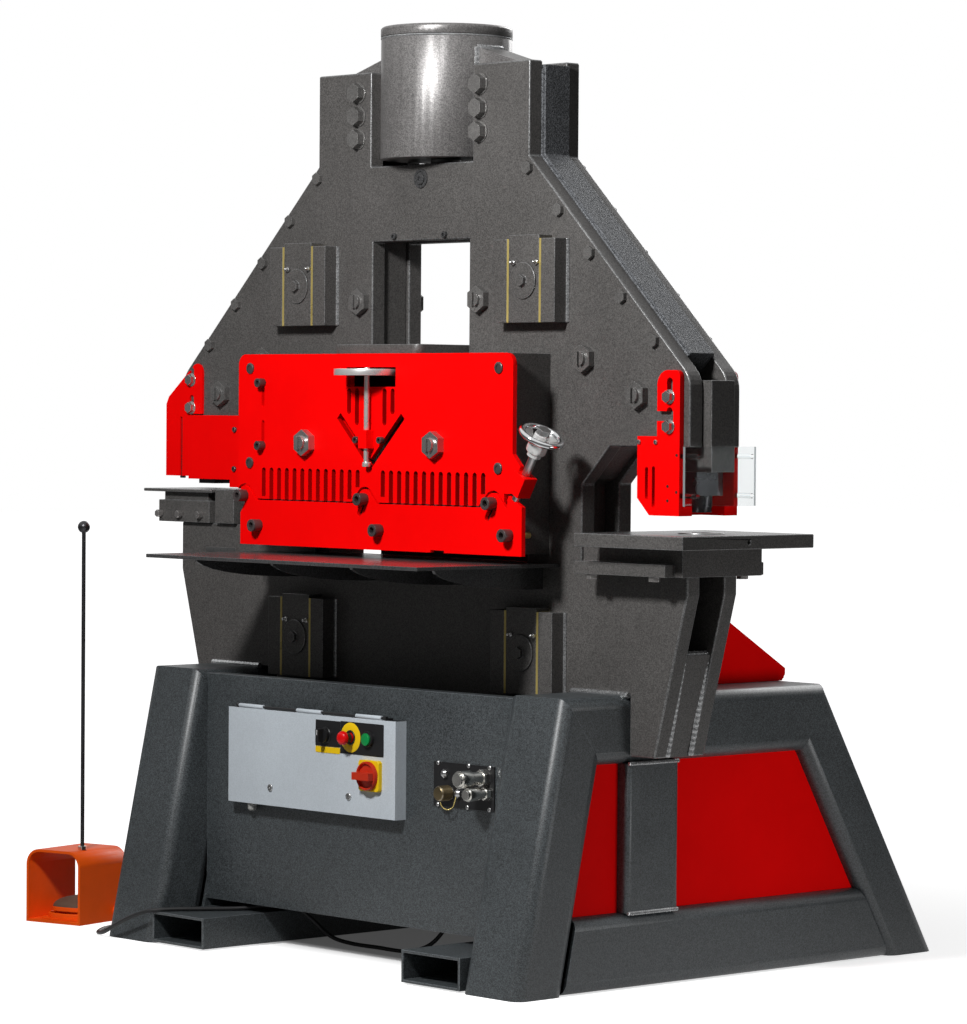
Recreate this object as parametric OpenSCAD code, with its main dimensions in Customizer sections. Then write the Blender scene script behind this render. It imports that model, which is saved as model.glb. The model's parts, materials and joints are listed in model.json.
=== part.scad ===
/* [Base] */
// Width of the base across the machine
base_w = 1360; // [1280:2:1440]
// Depth of the base at the floor
base_d = 1256; // [1180:2:1340]
// Height of the base to the top of its rails
base_h = 603; // [570:1:640]
// How far the front legs lean back on the way up
front_rake = 130; // [90:1:160]
// How far the rear legs lean forward on the way up
rear_rake = 357; // [300:1:390]
// Width of the base tubes across the machine
tube_w = 173; // [150:1:190]
// Depth of the leg tubes
leg_d = 127; // [105:1:140]
// Height of the top rails
rail_h = 140; // [115:1:155]
// Height of the floor sills
sill_h = 155; // [130:1:175]
// Outer corner radius of the base tubes
tube_r = 26; // [14:1:27]
// Wall of the base tubes
tube_wall = 8; // [5:0.5:10]
// Depth at which the side panels sit inside the tubes
panel_inset = 30; // [28:1:45]
// Thickness of the sheet panels and covers
sheet = 4; // [2.5:0.5:5]
// Width of a fork pocket
fork_w = 180; // [150:1:200]
// Height of a fork pocket
fork_h = 68; // [60:1:74]
// Wall of a fork pocket
fork_wall = 6; // [4:0.5:8]
// Clearance of the fork pockets above the floor
fork_lift = 4; // [2:1:6]
// Distance of the front panel behind the top front edge
panel_set = 23; // [16:1:30]
// Height of the front panel's lower edge
panel_low = 90; // [86:1:110]

/* [Frame plates] */
// Place of the frame's centre line to the right of the base centre
frame_x = 24; // [10:1:30]
// Place of the frame's middle plane from the base centre
frame_y = -248; // [-255:1:-235]
// Thickness of a frame plate
plate_t = 37; // [32:0.5:42]
// Gap between the two frame plates
plate_gap = 70; // [64:1:80]
// Height of the plates above the base
plate_h = 1318; // [1290:1:1350]
// Half width of the plates at the top
shoulder_half = 342; // [330:1:355]
// Height of the shoulders below the top of the plates
shoulder_drop = 201; // [180:1:220]
// Height above the base at which the sloped edges meet the sides
side_top = 653; // [645:1:670]
// Half width of the plates at the working height
side_half = 822; // [812:1:830]
// Radius where a sloped edge turns down
side_r = 60; // [30:1:80]
// Half width of the cylinder slot
slot_half = 165; // [155:1:172]
// Depth of the cylinder slot
slot_depth = 206; // [196:1:216]
// Half width of the tool window
window_half = 157; // [145:1:162]
// Depth of plate between the tool window and the cylinder slot
slot_web = 165; // [150:1:175]
// Height of the throat's upper edge above the base
throat_z = 510; // [500:1:518]
// Distance of the punch throat's back wall from the centre line
throat_wall = 510; // [500:1:530]
// Distance of the notcher throat's back wall from the centre line
notch_wall = 600; // [580:1:620]
// Height of the punch bolster's seat above the base
seat_z = 249; // [240:1:258]
// Height of the notcher's seat above the base
notch_seat = 319; // [310:1:325]
// Width of a plate foot beside the rail at its lower end
foot_w = 72; // [60:1:80]
// How far the plate feet reach down beside the rails
foot_drop = 125; // [100:1:132]
// Depth of the spacer bars between the plates
spacer_d = 48; // [40:1:56]
// How far the spacer bars stand proud of the plate edges
spacer_proud = 9; // [5:1:12]

/* [Cylinder] */
// Outer diameter of the cylinder barrel
barrel_od = 284; // [270:1:296]
// Bore of the cylinder barrel
barrel_id = 216; // [200:1:226]
// Height of the barrel's lower end above the slot's floor
barrel_lift = 11; // [6:1:16]
// Length of the barrel
barrel_len = 259; // [250:1:280]
// Thickness of the cylinder cap
cap_t = 26; // [20:1:34]

/* [Ram and guides] */
// Working stroke of the ram
stroke = 60; // [40:1:62]
// Clearance of the ram to each frame plate
ram_gap = 2; // [1.5:0.1:3]
// Depth of the ram's top below the cylinder slot
ram_drop = 52; // [46:1:60]
// Distance of the ram ends from the centre line
arm_out = 845; // [835:1:855]
// Distance of the guides from the centre line
guide_x = 368; // [360:1:376]
// Height of the upper guides above the base
guide_hi = 853; // [845:1:862]
// Height of the lower guides above the base
guide_lo = 75; // [70:1:80]
// Height of a guide
guide_h = 175; // [165:1:185]
// How far a guide stands out from the plate
guide_proud = 38; // [30:1:44]
// Width of a guide block
block_w = 92; // [80:1:100]
// Thickness of a brass guide strip
strip_t = 6; // [4:0.5:8]
// Width of a guide cheek
cheek_w = 42; // [34:1:48]
// Diameter of a guide pin
pin_d = 44; // [36:1:50]
// Clearance between sliding flat faces
slide_gap = 0.2; // [0.1:0.05:0.3]
// Radial clearance of running fits
run_gap = 0.06; // [0.03:0.01:0.1]

/* [Shear station] */
// Half width of the shear housing
housing_half = 412; // [405:1:418]
// Depth of the shear housing in front of the plate
housing_d = 128; // [115:1:140]
// Height of the shear housing's top above the base
housing_top = 701; // [695:1:712]
// Height of the shear housing's underside above the base
housing_low = 283; // [279:1:290]
// Wall of the shear housing
housing_wall = 20; // [14:1:26]
// Thickness of the red guard plates
guard_t = 11; // [8:0.5:14]
// Height of the feed table's top above the base
bar_z = 264; // [258:1:268]
// Half width of the flat bar slot
shear_half = 345; // [330:1:355]
// Height of the flat bar slot above the lower blade
bar_open = 38; // [32:1:42]
// Height of a shear blade
blade_h = 32; // [28:1:38]
// Height of the angle vee's lowest point above the base
vee_z = 452; // [448:1:458]
// Half width of the angle vee
vee_half = 110; // [100:1:116]
// Width of the slot that forms the vee
vee_slot = 16; // [13:0.5:18]
// Travel of the flat bar hold-down
hold_travel = 12; // [8:1:14]
// Lean of the flat bar hold-down screw from the vertical
hold_lean = 30; // [27:1:33]
// Diameter of the flat bar hold-down screw
hold_screw_d = 18; // [14:1:20]
// Diameter of the chrome handwheel
wheel_d = 100; // [90:1:110]
// Travel of the angle hold-down screw
angle_travel = 18; // [10:1:20]
// Diameter of the angle hold-down screw
angle_screw_d = 12; // [10:0.5:14]
// Diameter of the angle hold-down's disc
disc_d = 142; // [130:1:146]
// Thickness of the angle hold-down's disc
disc_t = 14; // [10:1:16]
// Half width of the tool platform
platform_half = 137; // [120:1:142]
// Depth of the tool platform behind the middle plane
platform_back = 190; // [150:1:220]
// Thickness of the tool platform
platform_t = 20; // [16:1:26]
// Half width of the feed table
feed_half = 445; // [430:1:460]
// Reach of the feed table in front of the plate
feed_reach = 398; // [360:1:420]
// Thickness of the feed table
feed_t = 8; // [6:0.5:10]

/* [Punch and notcher stations] */
// Distance of the punch from the centre line
punch_x = 786; // [776:1:796]
// Diameter of the punch
punch_d = 42; // [34:1:46]
// Radial clearance of the punch in its die
die_gap = 0.6; // [0.4:0.05:0.8]
// Outer diameter of the die
die_d = 96; // [86:1:104]
// Across flats of the punch coupling nut
nut_af = 76; // [66:1:80]
// Length of the punch coupling nut
nut_h = 48; // [42:1:54]
// Height of the punch tip above the base
punch_tip = 378; // [374:1:382]
// Thickness of the punch table
table_t = 28; // [22:1:32]
// Width of the punch table
table_w = 312; // [300:1:330]
// Distance of the punch table's right edge from the centre line
table_out = 921; // [915:1:930]
// Half depth of the punch table
table_half = 190; // [175:1:200]
// Height of the bolster
bolster_h = 57.5; // [52:0.5:62]
// Thickness of the stripper plates
strip_plate_t = 12; // [8:0.5:14]
// Height of the stripper's underside above the base
stripper_low = 371; // [368:1:376]
// Travel of the stripper
stripper_travel = 30; // [10:1:32]
// Thickness of the clear guard
clear_t = 6; // [4:0.5:8]
// Thickness of the notcher table
notch_table_t = 7; // [5:0.5:10]
// Height of the notcher block
notch_block_h = 69; // [64:1:74]
// Size of the square notching punch
notch_punch_w = 58; // [50:1:60]
// Travel of the notcher guard
notch_travel = 20; // [10:1:24]

/* [Controls] */
// Share of the front panel's width that the control box takes
box_share = 0.551; // [0.5:0.001:0.6]
// Height of the control box
box_h = 209; // [190:1:220]
// Place of the control box's centre, as a share of the panel's half width
box_place = -0.227; // [-0.26:0.001:-0.2]
// Height of the control box's centre above the floor
box_z = 422; // [412:1:430]
// How far the control box stands out of the front panel
box_proud = 27; // [20:1:34]
// Depth of the control box behind the front panel
box_deep = 100; // [80:1:110]
// Wall of the control box
box_wall = 2.5; // [2:0.5:3.5]
// Thickness of the control box lid
lid_t = 3; // [2:0.5:4]
// Diameter of the lid's hinge pin
hinge_d = 5; // [4:0.5:6]
// Diameter of the emergency stop's head
estop_d = 40; // [34:1:46]
// Travel of the push buttons
button_travel = 4; // [2:0.5:5]

/* [Foot switch] */
// Width of the foot switch hood
hood_w = 158; // [148:1:170]
// Depth of the foot switch hood
hood_d = 170; // [155:1:190]
// Height of the foot switch hood
hood_h = 168; // [155:1:180]
// Wall of the foot switch hood
hood_wall = 6; // [4:0.5:8]
// Diameter of the carrying rod
carry_d = 9; // [8:0.5:12]
// Length of the carrying rod above the hood
carry_len = 742; // [700:1:780]
// Diameter of the ball on the carrying rod
ball_d = 28; // [24:1:32]
// Diameter of the foot switch cord
cord_d = 9; // [8:0.5:10]

/* [Hidden] */
$fn = 48;

// Paint and metal colours
frame_grey = [0.27, 0.26, 0.25];
base_grey = [0.22, 0.24, 0.26];
guard_red = [0.85, 0.04, 0.05];
steel = [0.70, 0.71, 0.72];
black_oxide = [0.16, 0.15, 0.15];
brass = [0.80, 0.62, 0.28];

// Small margin by which a cut runs past the face it opens
cut = 1;

// Base outline in the side view, with Y to the rear and Z up
function front_y(z) = -base_d / 2 + front_rake * z / base_h;
function rear_y(z) = base_d / 2 - rear_rake * z / base_h;
front_lean = atan(front_rake / base_h);
rear_lean = atan(rear_rake / base_h);
function front_in(z) = front_y(z) + leg_d / cos(front_lean);
function rear_in(z) = rear_y(z) - leg_d / cos(rear_lean);
rail_low = base_h - rail_h;
front_top = [front_y(base_h), base_h];
rear_top = [rear_y(base_h), base_h];
front_knee = [front_in(rail_low), rail_low];
rear_knee = [rear_in(rail_low), rail_low];
function beyond(a, b) = b + (b - a) * 0.4;
inner_half = base_w / 2 - tube_w;
panel_y = front_y(base_h) + panel_set;
panel_top = base_h - 9;
post_d = 60;
cross_low = panel_low;
cross_h = 60;
cross_d = 80;
rear_cross_y = 300;
tray_z = cross_low + cross_h;
fork_x = inner_half - fork_w / 2;

// Frame values, measured from the frame's centre line and from the top of the base
half_gap = plate_gap / 2;
face = half_gap + plate_t;
rail_right = base_w / 2 - frame_x;
rail_left = -base_w / 2 - frame_x;
foot_half = rail_right + foot_w;
shoulder_z = plate_h - shoulder_drop;
slope_deg = atan((shoulder_z - side_top) / (side_half - shoulder_half));
slot_floor = plate_h - slot_depth;
window_top = slot_floor - slot_web;
barrel_low = slot_floor + barrel_lift;
ram_top = slot_floor - ram_drop;
tongue_half = min(rail_right, -rail_left) - tube_w - 4;
tongue = 45;
post_w = 2 * face + 6;
corner_z = side_top;
corner_t = side_r * tan((90 - slope_deg) / 2);
slope_dir = [cos(slope_deg), -sin(slope_deg)];
slope_out = [sin(slope_deg), cos(slope_deg)];
shoulder = [shoulder_half, shoulder_z];
throat_step = 80;
notch_step = 40;
taper_z = seat_z - 38;
guide_zs = [guide_hi, guide_lo];
pin_gap = 2;
platform_z = housing_top;

// Ram values
ram_t = plate_gap - 2 * ram_gap;
ram_half = ram_t / 2;
rod_d = ram_t;
ram_inset = 90;
arm_top = 646;
arm_low = 460;
arm_w = 110;
ram_under = throat_z + 10;
ram_foot = 7;
column_out = guide_x + block_w / 2 + 56;
column_in = guide_x - block_w / 2 - 52;
tie_low = 100;
slot_room = 67;
ram_edge = shoulder - ram_inset * slope_out;
function ram_side(z) = ram_edge[0] + (ram_edge[1] - z) / tan(slope_deg);
head_t = 40;
piston_h = 50;
piston_low = barrel_low + head_t + stroke + 20;

// Shear station values
front_face = -face - housing_d;
guard_face = front_face - guard_t;
guard_half = 447;
guard_r = 24;
split_z = 380;
split_gap = 3;
hold_low = bar_z + 17.5;
hold_right = 476;
hold_left = -439;
ear_r = 22;
bolt_pitch = 406;
bolt_first = -423.5;
bolt_z = 389;
bolt_step = [50, -65];
bolt_xs = [for (i = [0 : 2]) bolt_first + i * bolt_pitch];
hold_bolts = [for (x = bolt_xs, i = [0, 1]) [x + i * bolt_step[0], bolt_z + i * bolt_step[1]]];
bolt_d = 14;
hold_shank_max = housing_half - bolt_d - hold_travel;
bolt_head_d = 27;
bolt_head_h = 24;
hold_dir = [-sin(hold_lean), -cos(hold_lean)];
hold_tip = [452, 397];
hold_y = front_face - guard_t / 2;
collar_at = 38;
collar_l = 46;
collar_w = 36;
wheel_at = 150;
pad_left = 432;
angle_y = guard_face - angle_screw_d / 2 - 5;
disc_z = 654;
angle_tip = 469;
angle_pad_h = 10;
angle_block_z = 498;
angle_block_h = 40;
angle_block_w = 26;
angle_window_half = 80;
vee_room = 12;

// Punch and notcher values
table_z = seat_z + bolster_h;
table_top = table_z + table_t;
bolster_half = 143;
die_top = table_top + 2;
stripper_right = 805;
stripper_left = 684;
stripper_top = 532;
tab_left = 740;
tab_top = 666;
tab_bolt_x = 776;
tab_bolts = [612, 552];
guard_at = arm_out + 6;
notch_x = -786;
notch_table_z = notch_seat + notch_block_h;
notch_gap = 0.5;
notch_bolts = [[-783, 646], [-783, 582]];
notch_plate_t = 5;
block_half = 85;

// Control box values
box_w = 2 * inner_half * box_share;
box_x = inner_half * box_place;
box_front = panel_y - box_proud;
lid_front = box_front - lid_t;
box_top = box_z + box_h / 2;
box_low = box_z - box_h / 2;
hinge_z = box_top + hinge_d / 2 + 2.5;
hinge_y = box_front - lid_t / 2;
knuckle_d = hinge_d + 4;
knuckle_w = 0.148 * box_w;
knuckle_pitch = 0.352 * box_w;
estop_x = box_x + 0.243 * box_w;
start_x = box_x + 0.349 * box_w;
knob_x = box_x + 0.095 * box_w;
button_z = 484;
handle_x = box_x + 0.365 * box_w;
handle_z = 407;
coupler_x = 0.69 * inner_half;
coupler_z = 402;

// Foot switch place, turn and cord route, in the base frame
hood_at = [-947, -507];
hood_turn = 14;
carry_at = [45, -35];
gland_at = [hood_w / 2, 45, 24];
gland_l = 22;
gland_dir = [cos(hood_turn), sin(hood_turn), 0];
gland_end = [
  hood_at[0] + (gland_at[0] + gland_l - 8) * cos(hood_turn) - gland_at[1] * sin(hood_turn),
  hood_at[1] + (gland_at[0] + gland_l - 8) * sin(hood_turn) + gland_at[1] * cos(hood_turn),
  gland_at[2]
];
cord_route = [
  [60, -250, tray_z - 0.3], [60, -250, 120], [56, -256, 70], [30, -280, 24], [-20, -304, 5],
  [-110, -312, 5], [-200, -312, 5], [-258, -322, 16], [-296, -345, 52], [-318, -378, 80],
  [-350, -424, 82], [-392, -484, 77.5], [-432, -545, 77.5], [-468, -600, 77.5], [-500, -640, 74],
  [-555, -650, 56], [-610, -650, 33], [-660, -645, 12], [-708, -625, 5], [-748, -580, 5],
  [-770, -530, 5], [-782, -480, 6], [-802, -448, 13],
  gland_end + 30 * gland_dir, gland_end + 16 * gland_dir, gland_end
];

// Draws an outline of the front view as a plate from y, t thick
module plate(y, t) {
  translate([0, y + t, 0])
    rotate([90, 0, 0])
      linear_extrude(t)
        children();
}

// Draws an outline of the side view as a plate from x, t thick
module side_plate(x, t) {
  translate([x, 0, 0])
    rotate([90, 0, 90])
      linear_extrude(t)
        children();
}

// Moves to the frame's own origin on top of the base
module on_frame() {
  translate([frame_x, frame_y, base_h])
    children();
}

// Moves to the foot switch
module on_switch() {
  translate([hood_at[0], hood_at[1], 0])
    rotate([0, 0, hood_turn])
      children();
}

// Rectangle with rounded corners, centred
module soft_rect(w, h, r) {
  square([w - 2 * r, h], center = true);
  square([w, h - 2 * r], center = true);
  for (x = [-1, 1], y = [-1, 1])
    translate([x * (w / 2 - r), y * (h / 2 - r)])
      circle(r);
}

// Wall of a rectangular tube with rounded corners
module tube_shape(w, h) {
  difference() {
    soft_rect(w, h, tube_r);
    square([w - 2 * tube_wall, h - 2 * tube_wall], center = true);
  }
}

// Upright slot with round ends, from z to z + h between the end centres
module upright_slot(x, z, h, d) {
  translate([x - d / 2, z])
    square([d, h]);
  for (end = [z, z + h])
    translate([x, end])
      circle(d = d);
}

// Round bar along Y from y to y + t
module pin_y(x, y, z, d, t) {
  translate([x, y + t, z])
    rotate([90, 0, 0])
      cylinder(d = d, h = t);
}

// Hexagonal head or nut along Y from y to y + t, given across its flats
module hex_y(x, y, z, flats, t) {
  translate([x, y + t, z])
    rotate([90, 30, 0])
      cylinder(d = flats / cos(30), h = t, $fn = 6);
}

// Vee of a bent angle, as a band s wide above its lowest point
module vee_band(low, half, s) {
  rise = s * sqrt(2);
  end = s / sqrt(2);
  polygon([
    [0, low], [half, low + half], [half - end, low + half + end], [0, low + rise],
    [end - half, low + half + end], [-half, low + half]
  ]);
}

// Room behind the guard in which the legs of a bent angle lie
module vee_space() {
  low = vee_z - vee_room / 2;
  half = vee_half + vee_room;
  polygon([
    [0, low], [half, low + half], [half, low + half + vee_room],
    [-half, low + half + vee_room], [-half, low + half]
  ]);
}

// Base

module raked_leg(side, back, rake, lean, top, knee, inner_floor) {
  high = beyond(knee, top);
  low = beyond(top, knee);
  intersection() {
    translate([side * (base_w - tube_w) / 2, back * base_d / 2, 0])
      rotate([back * lean, 0, 0])
        translate([0, -back * leg_d / 2, -leg_d])
          linear_extrude(base_h / cos(lean) + 2 * leg_d)
            tube_shape(tube_w, leg_d);
    side_plate(side * base_w / 2 - base_w / 4, base_w / 2)
      polygon([[back * (base_d / 2 + 60), 0], high, low, [inner_floor - back * 60, 0]]);
  }
}

module legs() {
  color(base_grey)
    for (side = [-1, 1]) {
      raked_leg(side, -1, front_rake, front_lean, front_top, front_knee, front_in(0));
      raked_leg(side, 1, rear_rake, rear_lean, rear_top, rear_knee, rear_in(0));
    }
}

module top_rail(side) {
  intersection() {
    translate([side * (base_w - tube_w) / 2, base_d / 2, base_h - rail_h / 2])
      rotate([90, 0, 0])
        linear_extrude(base_d)
          tube_shape(tube_w, rail_h);
    side_plate(side * base_w / 2 - base_w / 4, base_w / 2)
      polygon([
        beyond(front_knee, front_top), beyond(rear_knee, rear_top),
        beyond(rear_top, rear_knee), beyond(front_top, front_knee)
      ]);
  }
}

module sill(side) {
  intersection() {
    translate([side * (base_w - tube_w) / 2, base_d / 2, sill_h / 2])
      rotate([90, 0, 0])
        linear_extrude(base_d)
          tube_shape(tube_w, sill_h);
    side_plate(side * base_w / 2 - base_w / 4, base_w / 2)
      polygon([
        [front_in(-20), -20], [rear_in(-20), -20],
        [rear_in(sill_h + 20), sill_h + 20], [front_in(sill_h + 20), sill_h + 20]
      ]);
  }
}

module side_rails() {
  color(base_grey)
    for (side = [-1, 1]) {
      top_rail(side);
      sill(side);
      translate([side * (base_w - post_d) / 2, frame_y, sill_h])
        linear_extrude(rail_low - sill_h)
          difference() {
            soft_rect(post_d, post_w, 12);
            square([post_d - 2 * tube_wall, post_w - 2 * tube_wall], center = true);
          }
    }
}

module side_panels() {
  post_front = frame_y - post_w / 2;
  post_rear = frame_y + post_w / 2;
  color(guard_red)
    for (side = [-1, 1])
      side_plate(side * (base_w / 2 - panel_inset - sheet / 2) - sheet / 2, sheet) {
        polygon([
          [front_in(sill_h), sill_h], [post_front, sill_h],
          [post_front, rail_low], [front_in(rail_low), rail_low]
        ]);
        polygon([
          [post_rear, sill_h], [rear_in(sill_h), sill_h],
          [rear_in(rail_low), rail_low], [post_rear, rail_low]
        ]);
      }
}

module fork_pockets() {
  color(base_grey)
    for (side = [-1, 1])
      translate([side * fork_x, base_d / 2, fork_lift + fork_h / 2])
        rotate([90, 0, 0])
          linear_extrude(base_d)
            difference() {
              square([fork_w, fork_h], center = true);
              square([fork_w - 2 * fork_wall, fork_h - 2 * fork_wall], center = true);
            }
}

module cross_rail(y) {
  difference() {
    translate([-inner_half, y, cross_low])
      cube([2 * inner_half, cross_d, cross_h]);
    translate([-inner_half - cut, y + tube_wall, cross_low + tube_wall])
      cube([2 * inner_half + 2 * cut, cross_d - 2 * tube_wall, cross_h - 2 * tube_wall]);
  }
}

module cross_members() {
  front = panel_y + sheet;
  color(base_grey) {
    cross_rail(front);
    cross_rail(rear_cross_y);
    translate([-inner_half + 6, front, tray_z])
      cube([2 * inner_half - 12, rear_cross_y + cross_d - front, sheet]);
  }
}

module front_panel() {
  lip = 36;
  color(base_grey) {
    plate(panel_y, sheet)
      difference() {
        translate([-inner_half, panel_low])
          square([2 * inner_half, panel_top - panel_low]);
        translate([box_x, box_z])
          square([box_w, box_h], center = true);
      }
    translate([-inner_half, panel_y, panel_top - sheet])
      cube([2 * inner_half, lip, sheet]);
  }
}

module rear_panel() {
  low = (panel_low + 10) / cos(rear_lean);
  high = (base_h - 30) / cos(rear_lean);
  vents = 12;
  vent_h = 90;
  pitch = 62;
  color(base_grey)
    translate([0, base_d / 2, 0])
      rotate([rear_lean, 0, 0])
        plate(-24 - sheet, sheet)
          difference() {
            translate([-inner_half, low])
              square([2 * inner_half, high - low]);
            for (i = [0 : vents - 1], row = [0, 1])
              upright_slot((i - (vents - 1) / 2) * pitch, low + 150 + row * 160, vent_h, 16);
          }
}

module rear_chute() {
  outer = inner_half + tube_r + 6;
  start = frame_y + face;
  end = rear_y(base_h) + 20;
  high = base_h + 237;
  knee = start + 118;
  lip = base_h + 27;
  slide_high = high - 24;
  slide_low = base_h + 4;
  color(guard_red) {
    for (side = [-1, 1])
      side_plate(side * (outer - sheet / 2) - sheet / 2, sheet)
        polygon([
          [start, base_h], [end - 10, base_h], [end, base_h + 14], [end, lip],
          [knee, high], [start, high]
        ]);
    side_plate(sheet - outer, 2 * (outer - sheet))
      polygon([
        [start, slide_high], [end, slide_low + sheet], [end, slide_low],
        [start, slide_high - sheet]
      ]);
  }
}

// Frame

// Outline of a frame plate with its slot, throats, feet and the tongue between the rails
module plate_outline() {
  right_arc = [
    for (a = [90 - slope_deg : -(90 - slope_deg) / 5 : -0.01])
      [side_half - side_r + side_r * cos(a), corner_z - corner_t + side_r * sin(a)]
  ];
  left_arc = [for (i = [len(right_arc) - 1 : -1 : 0]) [-right_arc[i][0], right_arc[i][1]]];
  polygon(concat(
    [[slot_half, slot_floor], [slot_half, plate_h], [shoulder_half, plate_h], shoulder],
    right_arc,
    [
      [side_half, throat_z], [throat_wall + throat_step, throat_z],
      [throat_wall, throat_z - throat_step], [throat_wall, seat_z], [side_half - 4, seat_z],
      [side_half - 4, taper_z], [foot_half, -foot_drop], [rail_right, -foot_drop], [rail_right, 0],
      [tongue_half, 0], [tongue_half, -tongue], [-tongue_half, -tongue], [-tongue_half, 0],
      [rail_left, 0], [rail_left, -foot_drop], [-foot_half, -foot_drop], [-side_half, taper_z],
      [-side_half, notch_seat], [-notch_wall, notch_seat],
      [-notch_wall, throat_z - notch_step], [-notch_wall - notch_step, throat_z],
      [-side_half, throat_z]
    ],
    left_arc,
    [
      [-shoulder_half, shoulder_z], [-shoulder_half, plate_h], [-slot_half, plate_h],
      [-slot_half, slot_floor]
    ]
  ));
}

// Openings that both plates share: tool window, angle vee and guide pin slots
module plate_openings() {
  translate([-window_half, platform_z])
    square([2 * window_half, window_top - platform_z]);
  vee_space();
  for (side = [-1, 1], z = guide_zs)
    upright_slot(side * guide_x, z - stroke - pin_gap, stroke + 2 * pin_gap, pin_d + 2 * pin_gap);
}

module bar_slot(low) {
  translate([-shear_half, low])
    square([2 * shear_half, bar_z + bar_open - low]);
}

module front_plate() {
  color(frame_grey)
    on_frame()
      plate(-face, plate_t)
        difference() {
          plate_outline();
          plate_openings();
          bar_slot(bar_z - blade_h);
        }
}

module rear_plate() {
  color(frame_grey)
    on_frame()
      plate(half_gap, plate_t)
        difference() {
          plate_outline();
          plate_openings();
          bar_slot(bar_z - blade_h - slot_room);
        }
}

module spacer_bars() {
  run = (shoulder_z - spacer_d * slope_out[1] - arm_top - 14) / sin(slope_deg);
  low_end = shoulder + run * slope_dir;
  top_bar = 60;
  outer = shoulder_half + spacer_proud;
  inner = outer - top_bar;
  filler_top = 87;
  filler_in = 700;
  filler_set = 4;
  function slope_z(x, proud) = shoulder_z + (proud - (x - shoulder_half) * slope_out[0]) / slope_out[1];
  function taper_x(z) = foot_half + (side_half - 4 - foot_half) * (z + foot_drop) / (taper_z + foot_drop);
  color(frame_grey)
    on_frame()
      plate(-half_gap, plate_gap) {
        for (side = [-1, 1])
          scale([side, 1])
            polygon([
              [outer, plate_h - spacer_proud], [outer, slope_z(outer, spacer_proud)],
              low_end + spacer_proud * slope_out, low_end - spacer_d * slope_out,
              [inner, slope_z(inner, -spacer_d)], [inner, plate_h - spacer_proud]
            ]);
        polygon([
          [rail_right, -foot_drop], [foot_half - filler_set, -foot_drop],
          [taper_x(filler_top) - filler_set, filler_top], [filler_in, filler_top],
          [filler_in, 0], [rail_right, 0]
        ]);
        polygon([
          [rail_left, -foot_drop], [-foot_half + filler_set, -foot_drop],
          [-taper_x(filler_top) + filler_set, filler_top], [-filler_in - 24, filler_top],
          [-filler_in - 24, 0], [rail_left, 0]
        ]);
      }
}

// Bolt heads and nuts on both outer faces of the frame
module frame_bolts() {
  edge_flats = 24;
  edge_h = 10;
  edge_inset = 19;
  edge_first = 17;
  edge_pitch = 131.6;
  lug_flats = 36;
  lug_h = 17;
  washer_t = 3;
  tie_flats = 50;
  tie_h = 16;
  stud_d = 30;
  stud_h = 7;
  slot_w = 6;
  ties = [[194, guide_hi - 36], [518, 690], [676, 615]];
  color(frame_grey)
    on_frame()
      for (front = [-1, 1], side = [-1, 1]) {
        base = front * face;
        for (i = [0 : 4]) {
          at = shoulder - edge_inset * slope_out + (edge_first + i * edge_pitch) * slope_dir;
          hex_y(side * at[0], base + min(front, 0) * edge_h, at[1], edge_flats, edge_h);
        }
        for (z = [plate_h - 145, plate_h - 95, plate_h - 44]) {
          x = side > 0 ? 190 : -205;
          pin_y(x, base + min(front, 0) * washer_t, z, lug_flats + 8, washer_t);
          hex_y(x, base + front * washer_t + min(front, 0) * lug_h, z, lug_flats, lug_h);
        }
        for (at = ties)
          difference() {
            union() {
              hex_y(side * at[0], base + min(front, 0) * tie_h, at[1], tie_flats, tie_h);
              pin_y(side * at[0], base + min(front, 0) * (tie_h + stud_h), at[1], stud_d, tie_h + stud_h);
            }
            translate([side * at[0] - slot_w / 2, base + front * (tie_h + stud_h) - 6, at[1] - stud_d])
              cube([slot_w, 12, 2 * stud_d]);
          }
      }
}

module cylinder_barrel() {
  lug_low = slot_floor + 26;
  lug_out = 262;
  lug_in = barrel_od * 0.44;
  lug_high = plate_h + 44;
  lug_shoulder = plate_h + 4;
  color(frame_grey)
    on_frame()
      difference() {
        union() {
          translate([0, 0, barrel_low])
            cylinder(d = barrel_od, h = barrel_len, $fn = 96);
          for (side = [-1, 1])
            plate(-half_gap, plate_gap)
              polygon([
                [side * lug_in, lug_low], [side * lug_out, lug_low],
                [side * lug_out, lug_shoulder], [side * lug_in, lug_high]
              ]);
        }
        translate([0, 0, barrel_low + head_t])
          cylinder(d = barrel_id, h = barrel_len, $fn = 96);
        translate([0, 0, barrel_low - cut])
          cylinder(d = rod_d + 2 * run_gap, h = head_t + 2 * cut, $fn = 96);
      }
}

module cylinder_cap() {
  rim = 1;
  groove = 5;
  r = barrel_od / 2;
  color(frame_grey)
    on_frame()
      translate([0, 0, barrel_low + barrel_len])
        rotate_extrude($fn = 96)
          polygon([
            [0, 0], [r - groove, 0], [r - groove, 5], [r + rim, 5], [r + rim, cap_t - 4],
            [r + rim - 4, cap_t], [0, cap_t]
          ]);
}

module guide_cheeks() {
  inner = block_w / 2 + slide_gap + strip_t;
  color(frame_grey)
    on_frame()
      for (front = [-1, 1], side = [-1, 1], z = guide_zs, hand = [-1, 1])
        translate([
          side * guide_x + hand * (inner + cheek_w / 2) - cheek_w / 2,
          front > 0 ? face : -face - guide_proud,
          z - guide_h / 2
        ])
          cube([cheek_w, guide_proud, guide_h]);
}

module brass_strips() {
  inner = block_w / 2 + slide_gap;
  color(brass)
    on_frame()
      for (front = [-1, 1], side = [-1, 1], z = guide_zs, hand = [-1, 1])
        translate([
          side * guide_x + hand * (inner + strip_t / 2) - strip_t / 2,
          front > 0 ? face : -face - guide_proud,
          z - guide_h / 2
        ])
          cube([strip_t, guide_proud, guide_h]);
}

// Ram

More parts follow.
